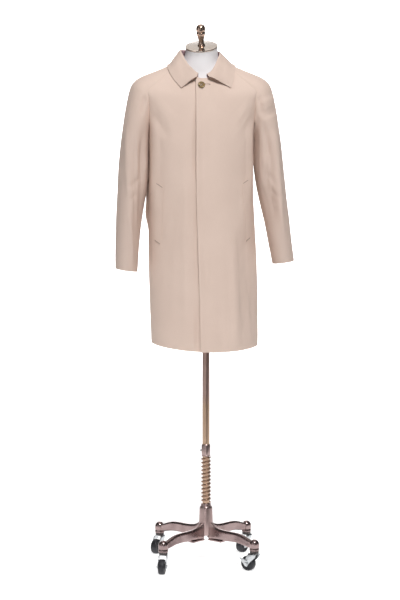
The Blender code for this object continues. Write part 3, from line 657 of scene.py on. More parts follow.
def jersey_finish():
    even = {"Metallic": 0.0, "Sheen Weight": 0.25, "Sheen Roughness": 0.5}
    material, place = new_finish("white_jersey", even)
    ribs = place.add(
        "ShaderNodeTexWave", {"bands_direction": "Z"},
        {"Vector": place, "Scale": 180.0, "Distortion": 0.6, "Detail": 1.0},
    )
    shade = place.noise(22.0, 3.0)
    return feed(material, {
        "Base Color": shade.blend(JERSEY_SHADE, JERSEY_PALE),
        "Roughness": 0.80 + 0.12 * shade,
        "Normal": ribs.bump(0.0002, 0.25),
    })


torso = take("form", "jersey_form")
crease_sharp(torso, degrees=55)
modify(torso, "SUBSURF", levels=2, render_levels=2)
smooth(torso, degrees=50)
hand_over(torso, jersey_finish(), "dressed_form", "jersey", "form")

# Neck cap and finial: a polished champagne plate screwed on the form's sloping neck,
# with a turned bronze knob that is used to lift and turn the form.

CAP_TILT = math.radians(22)
CAP_ROLL = math.radians(-4)
CAP_PLACE = Vector((-0.0100, -0.0010, 1.7640 + LEVEL))
CAP_STEPS, FINIAL_STEPS = 96, 64
FINIAL_SEAT = 0.0068
CHAMPAGNE, CHAMPAGNE_HAZE = (0.76, 0.655, 0.57), (0.66, 0.555, 0.475)
FINIAL_BRONZE, FINIAL_HAZE = (0.56, 0.40, 0.32), (0.44, 0.30, 0.235)
CAP_ROUGHNESS, FINIAL_ROUGHNESS = 0.10, 0.20
# Cap on its own axis: height, radius
CAP = (
    (0.0002, 0.0000),
    (0.0002, 0.0521),
    (0.0010, 0.0538),
    (0.0022, 0.0545),
    (0.0043, 0.0545),
    (0.0056, 0.0538),
    (0.0065, 0.0518),
    (0.0067, 0.0000),
)
# Finial above the cap: height, radius
FINIAL = (
    (0.0000, 0.0000),
    (0.0000, 0.0118),
    (0.0009, 0.0126),
    (0.0034, 0.0126),
    (0.0045, 0.0116),
    (0.0062, 0.0104),
    (0.0094, 0.0094),
    (0.0141, 0.0089),
    (0.0188, 0.0092),
    (0.0254, 0.0105),
    (0.0329, 0.0126),
    (0.0395, 0.0144),
    (0.0425, 0.0150),
    (0.0457, 0.0150),
    (0.0466, 0.0145),
    (0.0476, 0.0136),
    (0.0506, 0.0136),
    (0.0515, 0.0146),
    (0.0528, 0.0154),
    (0.0564, 0.0158),
    (0.0611, 0.0156),
    (0.0658, 0.0143),
    (0.0696, 0.0115),
    (0.0722, 0.0077),
    (0.0735, 0.0038),
    (0.0739, 0.0000),
)


def plate_finish(name, pale, deep, roughness):
    material, place = new_finish(name, {"Metallic": 1.0})
    haze = place.noise(55.0, 4.0).between(0.45, 0.8)
    lines = place.noise(700.0, 2.0)
    return feed(material, {
        "Base Color": haze.blend(pale, deep),
        "Roughness": roughness + 0.05 * lines + 0.05 * haze,
        "Normal": lines.bump(0.00005, 0.08),
    })


cap_place = Matrix.Translation(CAP_PLACE)
cap_place = cap_place @ Matrix.Rotation(CAP_ROLL, 4, "Y") @ Matrix.Rotation(CAP_TILT, 4, "X")
cap = turn("cap_plate", CAP, CAP_STEPS)
smooth(cap)
cap.data.transform(cap_place)
champagne = plate_finish("champagne_plate", CHAMPAGNE, CHAMPAGNE_HAZE, CAP_ROUGHNESS)
hand_over(cap, champagne, "dressed_form", "champagne", "neck_cap")
knob = turn("finial_knob", FINIAL, FINIAL_STEPS)
smooth(knob, degrees=45)
knob.data.transform(cap_place @ Matrix.Translation((0, 0, FINIAL_SEAT)))
knob_bronze = plate_finish("finial_bronze", FINIAL_BRONZE, FINIAL_HAZE, FINIAL_ROUGHNESS)
hand_over(knob, knob_bronze, "dressed_form", "champagne", "finial")

# Coat: a beige gabardine raglan coat, lightly pressed, each panel sewn to its neighbours and turned in
# at its free edges. The panels are thin shells on their solids, with the cloth's creases pressed in.

CLOTH = 0.0016
PROUD = 0.0007
UNEVEN = 0.0009
AXIS_X = -0.0110
AXIS_Y = 0.0150
FLAT = math.radians(62)
OUTWARD_SHARE = 0.5
SHEET_LEVELS = 3
# Creases: how far they wander, how much their depth varies, their fading ends, the faces they take
WANDER_SCALE, WANDER_OFF, WANDER_DEPTH = 1.7, 0.25, 0.35
CREASE_END = 0.3
FACING_FROM, FACING_TO = -0.1, 0.5
# Seams: the groove beside them, and how far a sleeve's edge is drawn up to the body's panels
SEAM_WIDTH = 0.0055
SEAM_DEPTH = 0.0009
SEAM_FADE = 0.0160
SEAM_GAP = 0.0002
CLOSE_DEPTH, CLOSE_LIMIT = 0.0120, 0.0040
ARMPIT, CUFF = 1.455, 1.075
SIDE_HALF, NECK_HALF, SLEEVE_NECK_HALF = 0.004, 0.076, 0.084
# Lap: the width that is rolled out and how far, its turned-in edge, and the edges that belong to it
LAP_ROLL = 0.0200
LAP_STAND = 0.0036
LAP_WAVE = 0.4
LAP_FOLD = ((-0.0010, 0.0006), (-0.0007, 0.0011), (-0.0002, 0.0014))
LAP_NEAR = 0.006
LAP_UPRIGHT = 0.6
LAP_ROWS = 24
# Collar: its leaf's edge, how far it stands off the panels, and its roll line
LEAF_MIDDLE = -0.0080
LEAF_DEPTH = 0.0420
LEAF_CLOSE, LEAF_BACK, LEAF_OPEN = 0.0026, 0.0040, 0.0220
LEAF_FRONT_OUT, LEAF_BACK_OUT = 0.092, 0.080
LEAF_BLEND = 0.012
LEAF_EASE = 0.15
OPEN_FROM, OPEN_TO = 0.030, 0.080
WHOLE_COAT = 9.0
NECK_SIDE_FROM, NECK_SIDE_TO = 0.2, 0.5
NECK_CLEAR = 0.0022
ROLL_PLACE, ROLL_HALF, ROLL_RISE = 0.043, 0.030, 0.0090
ROLL_FOOT, ROLL_TOP = 1.662, 1.690
ROLL_BACK, ROLL_FRONT = 0.010, 0.045
# Sleeves: where their tone is darkened as painted shade, and the tube that their grain runs round
SLEEVE_SHADE_FROM, SLEEVE_SHADE_TO, SLEEVE_SHADE_SHARE = 1.440, 1.580, 0.6
SLEEVE_TOP, SLEEVE_RUN, SLEEVE_RADIUS = 1.50, 0.43, 0.065
SLEEVE_OUT, SLEEVE_FLARE = 0.210, 0.054
SLEEVE_BACK, SLEEVE_FORWARD = 0.012, 0.018
BODY_RADIUS = 0.16
PALE, DEEP = (0.735, 0.580, 0.496), (0.675, 0.525, 0.445)
# Painted shade: the sleeves' cloth is darker below the armpit
SLEEVE_SHADE = (0.590, 0.462, 0.398)
# Painted shade: the collar's cloth is a darker copy of the body's
COLLAR_SHADED_PALE, COLLAR_SHADED_DEEP = (0.695, 0.550, 0.470), (0.640, 0.498, 0.422)
# A dark mauve tone on the collar's side that faces the neck
NECK_SIDE_MAUVE = (0.36, 0.235, 0.255)
SHEEN_TINT = (1.0, 0.93, 0.88, 1.0)

# Creases of each panel: which way they face, from x, z to x, z, half width, depth.
# A ridge's depth is positive and a trough's negative.
CREASES = {
    "front_left": (
        (-1, 0.002, 1.075, 0.001, 0.935, 0.0070, 0.0013),
        (-1, 0.084, 1.180, 0.104, 0.715, 0.0240, 0.0045),
        (-1, 0.146, 1.220, 0.160, 0.715, 0.0560, -0.0150),
        (-1, 0.172, 1.560, 0.100, 1.430, 0.0240, -0.0030),
        (-1, 0.160, 1.600, 0.084, 1.490, 0.0240, 0.0020),
        (-1, 0.136, 1.350, 0.120, 1.180, 0.0240, 0.0022),
        (-1, 0.044, 0.920, 0.056, 0.740, 0.0220, -0.0022),
        (-1, 0.030, 1.600, 0.038, 1.300, 0.0260, 0.0014),
        (-1, 0.152, 1.530, 0.152, 1.220, 0.0230, 0.0075),
    ),
    "front_right": (
        (-1, -0.186, 1.560, -0.120, 1.450, 0.0240, -0.0034),
        (-1, -0.176, 1.600, -0.100, 1.500, 0.0230, 0.0022),
        (-1, -0.112, 1.205, -0.146, 1.125, 0.0140, 0.0026),
        (-1, -0.034, 1.600, -0.038, 1.290, 0.0150, -0.0046),
        (-1, -0.035, 1.300, -0.036, 0.900, 0.0130, -0.0022),
        (-1, -0.030, 0.940, -0.032, 0.735, 0.0150, -0.0046),
        (-1, -0.068, 1.440, -0.070, 0.800, 0.0220, 0.0026),
        (-1, -0.138, 1.320, -0.150, 0.740, 0.0420, -0.0060),
        (-1, -0.172, 1.530, -0.172, 1.180, 0.0230, 0.0080),
    ),
    "back": (
        (1, -0.172, 1.560, -0.098, 1.440, 0.0240, -0.0034),
        (1, -0.160, 1.610, -0.080, 1.510, 0.0230, 0.0024),
        (1, 0.160, 1.550, 0.090, 1.425, 0.0240, -0.0034),
        (1, 0.150, 1.600, 0.070, 1.500, 0.0230, 0.0024),
        (1, -0.026, 1.260, -0.044, 0.740, 0.0300, 0.0036),
        (1, 0.044, 1.200, 0.064, 0.740, 0.0280, -0.0040),
        (1, -0.098, 1.100, -0.120, 0.740, 0.0320, -0.0046),
        (1, 0.114, 1.060, 0.128, 0.740, 0.0300, 0.0034),
        (1, -0.070, 1.335, 0.056, 1.312, 0.0200, 0.0014),
        (1, -0.190, 1.400, -0.190, 1.130, 0.0360, 0.0220),
    ),
    "sleeve_left": (
        (-1, 0.236, 1.540, 0.262, 1.090, 0.0150, 0.0042),
        (-1, 0.192, 1.570, 0.220, 1.120, 0.0450, -0.0170),
        (-1, 0.182, 1.520, 0.188, 1.280, 0.0140, 0.0080),
        (-1, 0.174, 1.610, 0.192, 1.530, 0.0140, -0.0044),
        (-1, 0.180, 1.530, 0.246, 1.562, 0.0190, -0.0060),
        (-1, 0.176, 1.572, 0.244, 1.600, 0.0150, 0.0030),
        (-1, 0.194, 1.350, 0.252, 1.296, 0.0140, -0.0024),
        (-1, 0.202, 1.290, 0.262, 1.256, 0.0130, -0.0020),
        (-1, 0.216, 1.236, 0.266, 1.226, 0.0110, 0.0014),
        (1, 0.226, 1.520, 0.254, 1.120, 0.0180, 0.0040),
        (1, 0.198, 1.440, 0.238, 1.120, 0.0160, -0.0044),
        (1, 0.198, 1.345, 0.258, 1.306, 0.0140, -0.0024),
    ),
    "sleeve_right": (
        (-1, -0.266, 1.530, -0.256, 1.230, 0.0120, 0.0044),
        (-1, -0.255, 1.230, -0.243, 1.030, 0.0120, 0.0040),
        (-1, -0.238, 1.500, -0.233, 1.080, 0.0130, -0.0044),
        (-1, -0.208, 1.530, -0.214, 1.080, 0.0260, -0.0100),
        (-1, -0.197, 1.520, -0.200, 1.240, 0.0120, 0.0050),
        (-1, -0.210, 1.335, -0.262, 1.286, 0.0140, -0.0024),
        (-1, -0.216, 1.278, -0.270, 1.248, 0.0130, -0.0020),
        (-1, -0.198, 1.610, -0.216, 1.530, 0.0140, -0.0040),
        (1, -0.250, 1.520, -0.262, 1.120, 0.0180, 0.0040),
        (1, -0.220, 1.440, -0.240, 1.090, 0.0160, -0.0044),
        (1, -0.212, 1.335, -0.262, 1.296, 0.0140, -0.0024),
    ),
    "collar": (),
}


def ease(low, high, values):
    """0 below low, 1 above high, smooth between, for an array of values."""
    share = np.clip((values - low) / (high - low), 0.0, 1.0)
    return share * share * (3.0 - 2.0 * share)


def outer_sheet(node, name, outward, levels):
    """A smooth sheet on a solid's outer face, found from its face that lies furthest outward."""
    piece = take(node, name)
    mesh = piece.data
    facing = [face for face in mesh.polygons if face.normal.dot(outward) > OUTWARD_SHARE]
    chosen = max(facing, key=lambda face: face.center.dot(outward)).index
    bpy.ops.object.mode_set(mode="EDIT")
    bpy.ops.mesh.select_mode(type="FACE")
    bpy.ops.mesh.select_all(action="DESELECT")
    bpy.ops.object.mode_set(mode="OBJECT")
    mesh.polygons[chosen].select = True
    bpy.ops.object.mode_set(mode="EDIT")
    bpy.ops.mesh.faces_select_linked_flat(sharpness=FLAT)
    bpy.ops.mesh.select_all(action="INVERT")
    bpy.ops.mesh.delete(type="FACE")
    bpy.ops.object.mode_set(mode="OBJECT")
    modify(piece, "SUBSURF", levels=levels, render_levels=levels, boundary_smooth="PRESERVE_CORNERS")
    return piece


def thicken(piece, thickness):
    """Gives a sheet its thickness, inwards from its outer face."""
    modify(piece, "SOLIDIFY", thickness=thickness, offset=-1.0, use_even_offset=True)
    smooth(piece, degrees=45)


def read_points(mesh, name="co"):
    values = np.empty(len(mesh.vertices) * 3)
    mesh.vertices.foreach_get(name, values)
    return values.reshape(-1, 3)


def move_points(mesh, points):
    mesh.vertices.foreach_set("co", points.ravel())
    mesh.update()


def ripple(points):
    """A gentle unevenness from -1 to 1, made of a few long waves."""
    x, y, z = points.T
    first = np.sin(23.0 * x + 9.0 * z + 1.3) * np.sin(11.0 * z - 6.0 * y + 0.4)
    second = np.sin(41.0 * x - 17.0 * z + 2.1) * np.sin(27.0 * z + 13.0 * y)
    return 0.6 * first + 0.4 * second


def crease_rise(points, normals, creases):
    """How far a panel's creases stand out at each point, fading at their ends and uneven in depth."""
    rise = np.zeros(len(points))
    wander = ripple(points * WANDER_SCALE)
    for facing, x0, z0, x1, z1, width, depth in creases:
        run = np.array((x1 - x0, z1 - z0))
        away = np.stack((points[:, 0] - x0, points[:, 2] - LEVEL - z0), axis=1)
        share = np.clip(away @ run / (run @ run), 0.0, 1.0)
        off = np.linalg.norm(away - share[:, None] * run, axis=1) + WANDER_OFF * width * wander
        across = np.clip(1.0 - (off / width) ** 2, 0.0, 1.0) ** 2
        ends = ease(0.0, CREASE_END, share) * ease(0.0, CREASE_END, 1.0 - share)
        faces = ease(FACING_FROM, FACING_TO, facing * normals[:, 1])
        rise += depth * across * ends * faces * (1.0 + WANDER_DEPTH * wander)
    return rise


def edge_points(mesh, keep):
    """A search tree of the points on a sheet's open edges, for the edges that are kept."""
    count = np.zeros(len(mesh.edges), int)
    for face in mesh.polygons:
        for loop in face.loop_indices:
            count[mesh.loops[loop].edge_index] += 1
    ends = {v for edge in mesh.edges if count[edge.index] == 1 for v in edge.vertices}
    places = [mesh.vertices[v].co.copy() for v in ends]
    places = [place for place in places if keep(place)]
    tree = KDTree(len(places))
    for i, place in enumerate(places):
        tree.insert(place, i)
    tree.balance()
    return tree


def body_seam(place):
    """Whether an edge point of a front or the back is on a side seam or a raglan seam."""
    if place.z - LEVEL < ARMPIT:
        return abs(place.y - AXIS_Y) < SIDE_HALF
    return abs(place.x - AXIS_X) > NECK_HALF


def sleeve_seam(place):
    """Whether an edge point of a sleeve is on a seam, and not on its cuff or its neck end."""
    return place.z - LEVEL > CUFF and abs(place.x - AXIS_X) > SLEEVE_NECK_HALF


def press(piece, creases, seam):
    """Presses the cloth's own unevenness into a sheet, and its creases and seams where it has them."""
    mesh = piece.data
    points = read_points(mesh)
    normals = read_points(mesh, "normal")
    rise = PROUD + UNEVEN * ripple(points)
    if creases:
        tree = edge_points(mesh, seam)
        near = np.array([tree.find(place)[2] for place in points])
        rise += crease_rise(points, normals, creases) * ease(0.0, SEAM_FADE, near)
        rise -= SEAM_DEPTH * (1.0 - ease(0.0, SEAM_WIDTH, near))
    move_points(mesh, points + normals * rise[:, None])


def close_seam(piece, grounds, seam):
    """Draws a sheet's seam edge up to the panels beside it, and eases the cloth near it along."""
    mesh = piece.data
    points = read_points(mesh)
    tree = edge_points(mesh, seam)
    shifts = {}
    for i, point in enumerate(points):
        edge, which, far = tree.find(point)
        if far > CLOSE_DEPTH:
            continue
        if which not in shifts:
            hits = [ground.closest_point_on_mesh(edge)[1] for ground in grounds]
            way = min(hits, key=lambda hit: (hit - edge).length) - edge
            drawn = SEAM_GAP < way.length <= CLOSE_LIMIT
            shifts[which] = np.array(way * (1.0 - SEAM_GAP / way.length if drawn else 0.0))
        points[i] += shifts[which] * (1.0 - ease(0.0, CLOSE_DEPTH, far))
    move_points(mesh, points)


def leaf_edge(place):
    """Whether an edge point of the collar is on its leaf and not on its stand."""
    away = math.hypot(place.x - AXIS_X, place.y - AXIS_Y)
    return away > (LEAF_FRONT_OUT if place.y < AXIS_Y else LEAF_BACK_OUT)


def lay_leaf(piece, grounds):
    """Raises the collar's roll line at the front, and lays its leaf down on the panels under it.
    The lower edges stand off the chest near the centre front."""
    mesh = piece.data
    points = read_points(mesh)
    out = np.abs(points[:, 0] - LEAF_MIDDLE)
    roll = np.clip(1.0 - ((out - ROLL_PLACE) / ROLL_HALF) ** 2, 0.0, 1.0) ** 2
    fold = ease(ROLL_BACK, ROLL_FRONT, -points[:, 1]) * ease(ROLL_FOOT, ROLL_TOP, points[:, 2] - LEVEL)
    tree = edge_points(mesh, leaf_edge)
    edges = [edge for edge, which, far in tree.find_range(Vector((0, 0, 0)), WHOLE_COAT)]
    shifts = []
    for edge in edges:
        beyond = panels["front_left" if edge.x < LEAF_MIDDLE else "front_right"]
        hits = [ground.closest_point_on_mesh(edge)[1] for ground in grounds if ground is not beyond]
        gap = edge - min(hits, key=lambda hit: (hit - edge).length)
        open_share = 1.0 - ease(OPEN_FROM, OPEN_TO, abs(edge.x - LEAF_MIDDLE))
        wanted = LEAF_CLOSE + (LEAF_OPEN - LEAF_CLOSE) * open_share if edge.y < 0 else LEAF_BACK
        slope = gap.y / gap.length
        shifts.append((wanted - gap.length) * slope / (slope * slope + LEAF_EASE))
    away = np.linalg.norm(points[:, None] - np.array(edges)[None], axis=2)
    weights = (away ** 2 + LEAF_BLEND ** 2) ** -2.0
    shift = weights @ np.array(shifts) / weights.sum(axis=1)
    points[:, 1] += shift * (1.0 - ease(0.0, LEAF_DEPTH, away.min(axis=1)))
    points[:, 2] += ROLL_RISE * roll * fold
    move_points(mesh, points)


def mark_tone(mesh, shares):
    """Writes how far each point of a sheet takes its cloth's second tone."""
    mesh.attributes.new("second_tone", "FLOAT", "POINT").data.foreach_set("value", shares)


def mark_sleeve_shade(mesh):
    """Marks how far each point of a sleeve takes painted shade, a darker tone, most below the armpit."""
    low = 1.0 - ease(SLEEVE_SHADE_FROM, SLEEVE_SHADE_TO, read_points(mesh)[:, 2] - LEVEL)
    mark_tone(mesh, SLEEVE_SHADE_SHARE * low)


def mark_neck_side(mesh):
    """Marks the collar's side that faces the neck, for a dark mauve tone, and draws it off the neck."""
    points = read_points(mesh)
    normals = read_points(mesh, "normal")
    away = np.stack((points[:, 0] - AXIS_X, points[:, 1]), axis=1)
    away /= np.linalg.norm(away, axis=1)[:, None]
    inward = -np.sum(away * normals[:, :2], axis=1)
    neck_side = ease(NECK_SIDE_FROM, NECK_SIDE_TO, inward)
    mark_tone(mesh, neck_side)
    move_points(mesh, points - normals * NECK_CLEAR * neck_side[:, None])


def lap_line(points):
    """The x of the lap's edge at each point's height, read from the points nearest to it."""
    levels = np.linspace(points[:, 2].min(), points[:, 2].max(), LAP_ROWS)
    edge = []
    for low, high in zip(levels, levels[1:]):
        row = points[(points[:, 2] >= low) & (points[:, 2] <= high)]
        edge.append(row[:, 0].min())
    return np.interp(points[:, 2], (levels[1:] + levels[:-1]) / 2, edge)


def roll_edge(piece):
    """Rolls the lap's edge out, so that it stands off the front below it, and folds it in."""
    mesh = piece.data
    points = read_points(mesh)
    normals = read_points(mesh, "normal")
    edge = lap_line(points)
    near = 1.0 - ease(0.0, LAP_ROLL, points[:, 0] - edge)
    uneven = 1.0 + LAP_WAVE * np.sin(19.0 * points[:, 2] + 0.7)
    move_points(mesh, points + normals * (LAP_STAND * near * uneven)[:, None])
    pick(piece)
    bpy.ops.object.mode_set(mode="EDIT")
    bpy.ops.mesh.select_mode(type="EDGE")
    bpy.ops.mesh.select_all(action="DESELECT")
    bpy.ops.mesh.select_non_manifold(extend=False)
    bpy.ops.object.mode_set(mode="OBJECT")
    for side in mesh.edges:
        start, end = [mesh.vertices[v].co for v in side.vertices]
        run = end - start
        at_lap = all(points[v, 0] - edge[v] < LAP_NEAR for v in side.vertices)
        side.select = side.select and at_lap and abs(run.z) > LAP_UPRIGHT * run.length
    at_edge = {v for side in mesh.edges if side.select for v in side.vertices}
    for vertex in mesh.vertices:
        vertex.select = vertex.index in at_edge
    bpy.ops.object.mode_set(mode="EDIT")
    for out, back in LAP_FOLD:
        bpy.ops.mesh.extrude_edges_move(TRANSFORM_OT_translate={"value": (out, back, 0)})
    bpy.ops.mesh.normals_make_consistent(inside=False)
    bpy.ops.object.mode_set(mode="OBJECT")


def lay_grain(mesh, arc):
    """A map of the cloth's grain: metres across the panel and up it."""
    points = read_points(mesh)
    across = arc(points)
    layer = mesh.uv_layers.new(name="grain")
    corners = np.empty(len(mesh.loops), int)
    mesh.loops.foreach_get("vertex_index", corners)
    grain = np.stack((across[corners], points[corners, 2]), axis=1)
    layer.data.foreach_set("uv", grain.ravel())


def body_arc(points):
    """Metres round the coat's body from the middle of the nearest side."""
    y = points[:, 1] - AXIS_Y
    facing = np.where(np.mean(y) < 0, -1.0, 1.0)
    return np.arctan2(points[:, 0] - AXIS_X, facing * y) * BODY_RADIUS


def sleeve_arc(points):
    """Metres round a sleeve from its outer side."""
    side = np.sign(np.mean(points[:, 0]))
    share = np.clip((SLEEVE_TOP - points[:, 2]) / SLEEVE_RUN, 0.0, 1.0)
    out = side * points[:, 0] - SLEEVE_OUT - SLEEVE_FLARE * share
    back = points[:, 1] - SLEEVE_BACK + SLEEVE_FORWARD * share
    return np.arctan2(back, out) * SLEEVE_RADIUS


def plain_arc(points):
    return points[:, 0]


def gabardine_finish(name, pale, deep, second=None):
    """Twill cloth, with a second tone where the sheet is marked for it."""
    even = {
        "Metallic": 0.0,
        "Specular IOR Level": 0.28,
        "Sheen Weight": 0.04,
        "Sheen Roughness": 0.45,
        "Sheen Tint": SHEEN_TINT,
    }
    material, grain = new_finish(name, even, "UV")
    twill = grain.add(
        "ShaderNodeTexWave", {"bands_direction": "DIAGONAL"},
        {"Vector": grain, "Scale": 240.0, "Distortion": 0.5, "Detail": 1.0},
    )
    yarn = grain.noise(1.0, 3.0, (1400.0, 60.0, 1.0))
    cloud = grain.noise(7.0, 4.0)
    pucker = grain.noise(55.0, 3.0)
    tone = 0.45 * yarn + 0.55 * cloud
    colour = tone.between(0.30, 0.72).blend(deep, pale)
    if second:
        share = grain.add("ShaderNodeAttribute", {"attribute_name": "second_tone"}, {}, "Fac")
        colour = share.blend(colour, second)
    return feed(material, {
        "Base Color": colour,
        "Roughness": 0.74 + 0.12 * yarn,
        "Normal": (0.5 * twill + 0.2 * yarn + 0.9 * pucker).bump(0.0004, 0.12),
    })


gabardine = gabardine_finish("gabardine_cloth", PALE, DEEP)
# The sleeves' cloth takes painted shade, a darker tone below the armpit
sleeve_cloth = gabardine_finish("shaded_sleeve_gabardine", PALE, DEEP, SLEEVE_SHADE)
# The collar's cloth is darkened as painted shade
collar_cloth = gabardine_finish("shaded_collar_gabardine", COLLAR_SHADED_PALE, COLLAR_SHADED_DEEP, NECK_SIDE_MAUVE)

# Panels: solid, cloth, the way its outer face looks, seam rule, grain, cut width and length, cut area
PANELS = (
    ("front_left", gabardine, (0, -1, 0), body_seam, body_arc, (0.27, 0.98), 0.225),
    ("front_right", gabardine, (0, -1, 0), body_seam, body_arc, (0.27, 0.98), 0.225),
    ("back", gabardine, (0, 1, 0), body_seam, body_arc, (0.46, 0.98), 0.395),
    ("sleeve_left", sleeve_cloth, (1, 0, 0), sleeve_seam, sleeve_arc, (0.42, 0.78), 0.215),
    ("sleeve_right", sleeve_cloth, (-1, 0, 0), sleeve_seam, sleeve_arc, (0.42, 0.80), 0.225),
    ("collar", collar_cloth, (0, 0, 1), None, plain_arc, (0.50, 0.13), 0.055),
)
panels = {}
for node, cloth, outward, seam, arc, cut, area in PANELS:
    panel = outer_sheet(node, "cloth_" + node, Vector(outward), SHEET_LEVELS)
    press(panel, CREASES[node], seam)
    if node == "front_left":
        roll_edge(panel)
    if seam is sleeve_seam:
        close_seam(panel, [panels[other] for other in ("front_left", "front_right", "back")], seam)
    lay_grain(panel.data, arc)
    if seam is sleeve_seam:
        mark_sleeve_shade(panel.data)
    if node == "collar":
        mark_neck_side(panel.data)
        lay_leaf(panel, list(panels.values()))
    thicken(panel, CLOTH)
    hand_over(panel, cloth, "dressed_form", "gabardine", node)
    panels[node] = panel

# Pocket welts: slanted strips of the same gabardine, turned in at their edges.
# They lie flat on the fronts, sewn down beside the pockets' mouths.

WELT_CLOTH = 0.0010
WELT_PROUD = 0.0012
WELT_LEVELS = 2
LAY_FROM = 0.05
# The way each welt looks
WELT_OUT = {"left": Vector((0.5, -0.866, 0)), "right": Vector((-0.5, -0.866, 0))}


def lay_on(side, place, proud):
    """Where a piece lies on a front, found from outside."""
    out = WELT_OUT[side]
    _, spot, facing, _ = panels["front_" + side].ray_cast(Vector(place) + LAY_FROM * out, -out)
    return spot + facing * proud


for side in ("left", "right"):
    node = "welt_" + side
    welt = outer_sheet(node, "cloth_" + node, WELT_OUT[side], WELT_LEVELS)
    points = [lay_on(side, point, WELT_PROUD) for point in read_points(welt.data)]
    move_points(welt.data, np.array(points))
    lay_grain(welt.data, plain_arc)
    thicken(welt, WELT_CLOTH)
    hand_over(welt, gabardine, "dressed_form", "gabardine", node)

# Bar tacks and buttonhole: close stitching in a darker thread, across both ends of each welt
# and round the slit beside the button.

TACK_RADIUS = 0.0008
TACK_SHARES = (0.10, 0.30, 0.50, 0.70, 0.90)
TACK_PROUD = 0.0014
TACK_SIDES = 16
TACK_EDGE = 0.0004
# How much more a corner's place across a welt counts than its height
CORNER_WEIGHT = 3.0
SLIT_SIZE = (0.0090, 0.0026, 0.0030)
SLIT_PLACE = Vector((0.0200, 0, 0.0040))
SLIT_STITCH = 0.22
SLIT_STEPS, SLIT_SIDES = 40, 8
THREAD_DARK, THREAD_PALE = (0.27, 0.195, 0.155), (0.39, 0.285, 0.235)


def thread_finish():
    material, place = new_finish("dark_thread", {"Metallic": 0.0})
    strand = place.noise(900.0, 2.0)
    return feed(material, {
        "Base Color": strand.blend(THREAD_DARK, THREAD_PALE),
        "Roughness": 0.70 + 0.15 * strand,
        "Normal": strand.bump(0.0002, 0.4),
    })


def turned_to(way):
    """The turn that brings a piece's own Z to a way."""
    return Vector((0, 0, 1)).rotation_difference(way).to_matrix().to_4x4()


def tack(name, ends, radius):
    """A bar of thread between two points."""
    start, end = ends
    size = {"vertices": TACK_SIDES, "radius": radius, "depth": (end - start).length}
    piece = begin(name, bpy.ops.mesh.primitive_cylinder_add, **size)
    soften(piece, TACK_EDGE)
    piece.data.transform(Matrix.Translation((start + end) / 2) @ turned_to(end - start))
    return piece


def welt_tack(mesh, side, highest):
    """A bar tack along a welt's top or bottom edge: short bars laid end to end on the cloth."""
    sign = 1 if highest else -1
    corners = []
    for way in (-CORNER_WEIGHT, CORNER_WEIGHT):
        corners.append(max(mesh.vertices, key=lambda v: sign * v.co.z + way * v.co.x).co)
    places = [corners[0].lerp(corners[1], share) for share in TACK_SHARES]
    laid = [lay_on(side, place, TACK_PROUD) for place in places]
    return join(*[tack("bar_tack", ends, TACK_RADIUS) for ends in zip(laid, laid[1:])])


dark_thread = thread_finish()
for side in ("left", "right"):
    mesh = bpy.data.objects["cloth_welt_" + side].data
    tacks = join(*[welt_tack(mesh, side, highest) for highest in (True, False)])
    tacks.name = "tacks_" + side
    hand_over(tacks, dark_thread, "dressed_form", "gabardine")

low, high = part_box("button")
spot = (low + high) / 2 + SLIT_PLACE
_, ground, facing, _ = panels["front_left"].closest_point_on_mesh(spot)
slit = begin(
    "buttonhole", bpy.ops.mesh.primitive_torus_add, major_segments=SLIT_STEPS, minor_segments=SLIT_SIDES,
    major_radius=1.0, minor_radius=SLIT_STITCH,
)
shape = Matrix.Diagonal((*SLIT_SIZE, 1.0))
slit.data.transform(Matrix.Translation(ground) @ turned_to(facing) @ shape)
smooth(slit, degrees=60)
hand_over(slit, dark_thread, "dressed_form", "gabardine")

# Button: one horn button at the neck, turned with a raised rim and a dished middle, with four holes
# and a crossed thread that holds it to the lap.

BUTTON_TILT = math.radians(22)
BUTTON_MIDDLE = 0.0021
HOLE_RADIUS = 0.0011
HOLE_OFF = 0.0024
HOLE_SIDES = 16
DRILL_LENGTH = 0.02
BUTTON_STEPS = 48
THREAD_RADIUS = 0.0006
THREAD_HEIGHT, THREAD_CROSS = 0.0026, 0.0003
HORN_DARK, HORN_BROWN, HORN_PALE = (0.085, 0.050, 0.015), (0.270, 0.170, 0.058), (0.66, 0.51, 0.29)
# Button on its own axis, from the back to the dish: height, radius
BUTTON = (
    (0.0000, 0.0000),
    (0.0000, 0.0090),
    (0.0008, 0.0112),
    (0.0018, 0.0120),
    (0.0030, 0.0120),
    (0.0039, 0.0113),
    (0.0042, 0.0100),
    (0.0037, 0.0084),
    (0.0027, 0.0068),
    (0.0024, 0.0000),
)


def horn_finish():
    even = {"Metallic": 0.0, "Coat Weight": 0.1, "Coat Roughness": 0.12, "Specular IOR Level": 0.3}
    material, place = new_finish("polished_horn", even)
    streak = place.noise(95.0, 4.0, (1.0, 1.0, 2.2)).between(0.36, 0.62)
    pale = place.noise(150.0, 2.0, (1.0, 1.0, 0.6)).between(0.60, 0.70)
    brown = streak.blend(HORN_DARK, HORN_BROWN)
    return feed(material, {
        "Base Color": pale.blend(brown, HORN_PALE),
        "Roughness": 0.26 + 0.12 * streak,
    })


def bore(piece, x, y):
    """Drills a hole through a flat-lying piece."""
    size = {"vertices": HOLE_SIDES, "radius": HOLE_RADIUS, "depth": DRILL_LENGTH}
    drill = begin("drill", bpy.ops.mesh.primitive_cylinder_add, location=(x, y, 0), **size)
    modify(piece, "BOOLEAN", operation="DIFFERENCE", object=drill, solver="EXACT")
    bpy.data.objects.remove(drill)


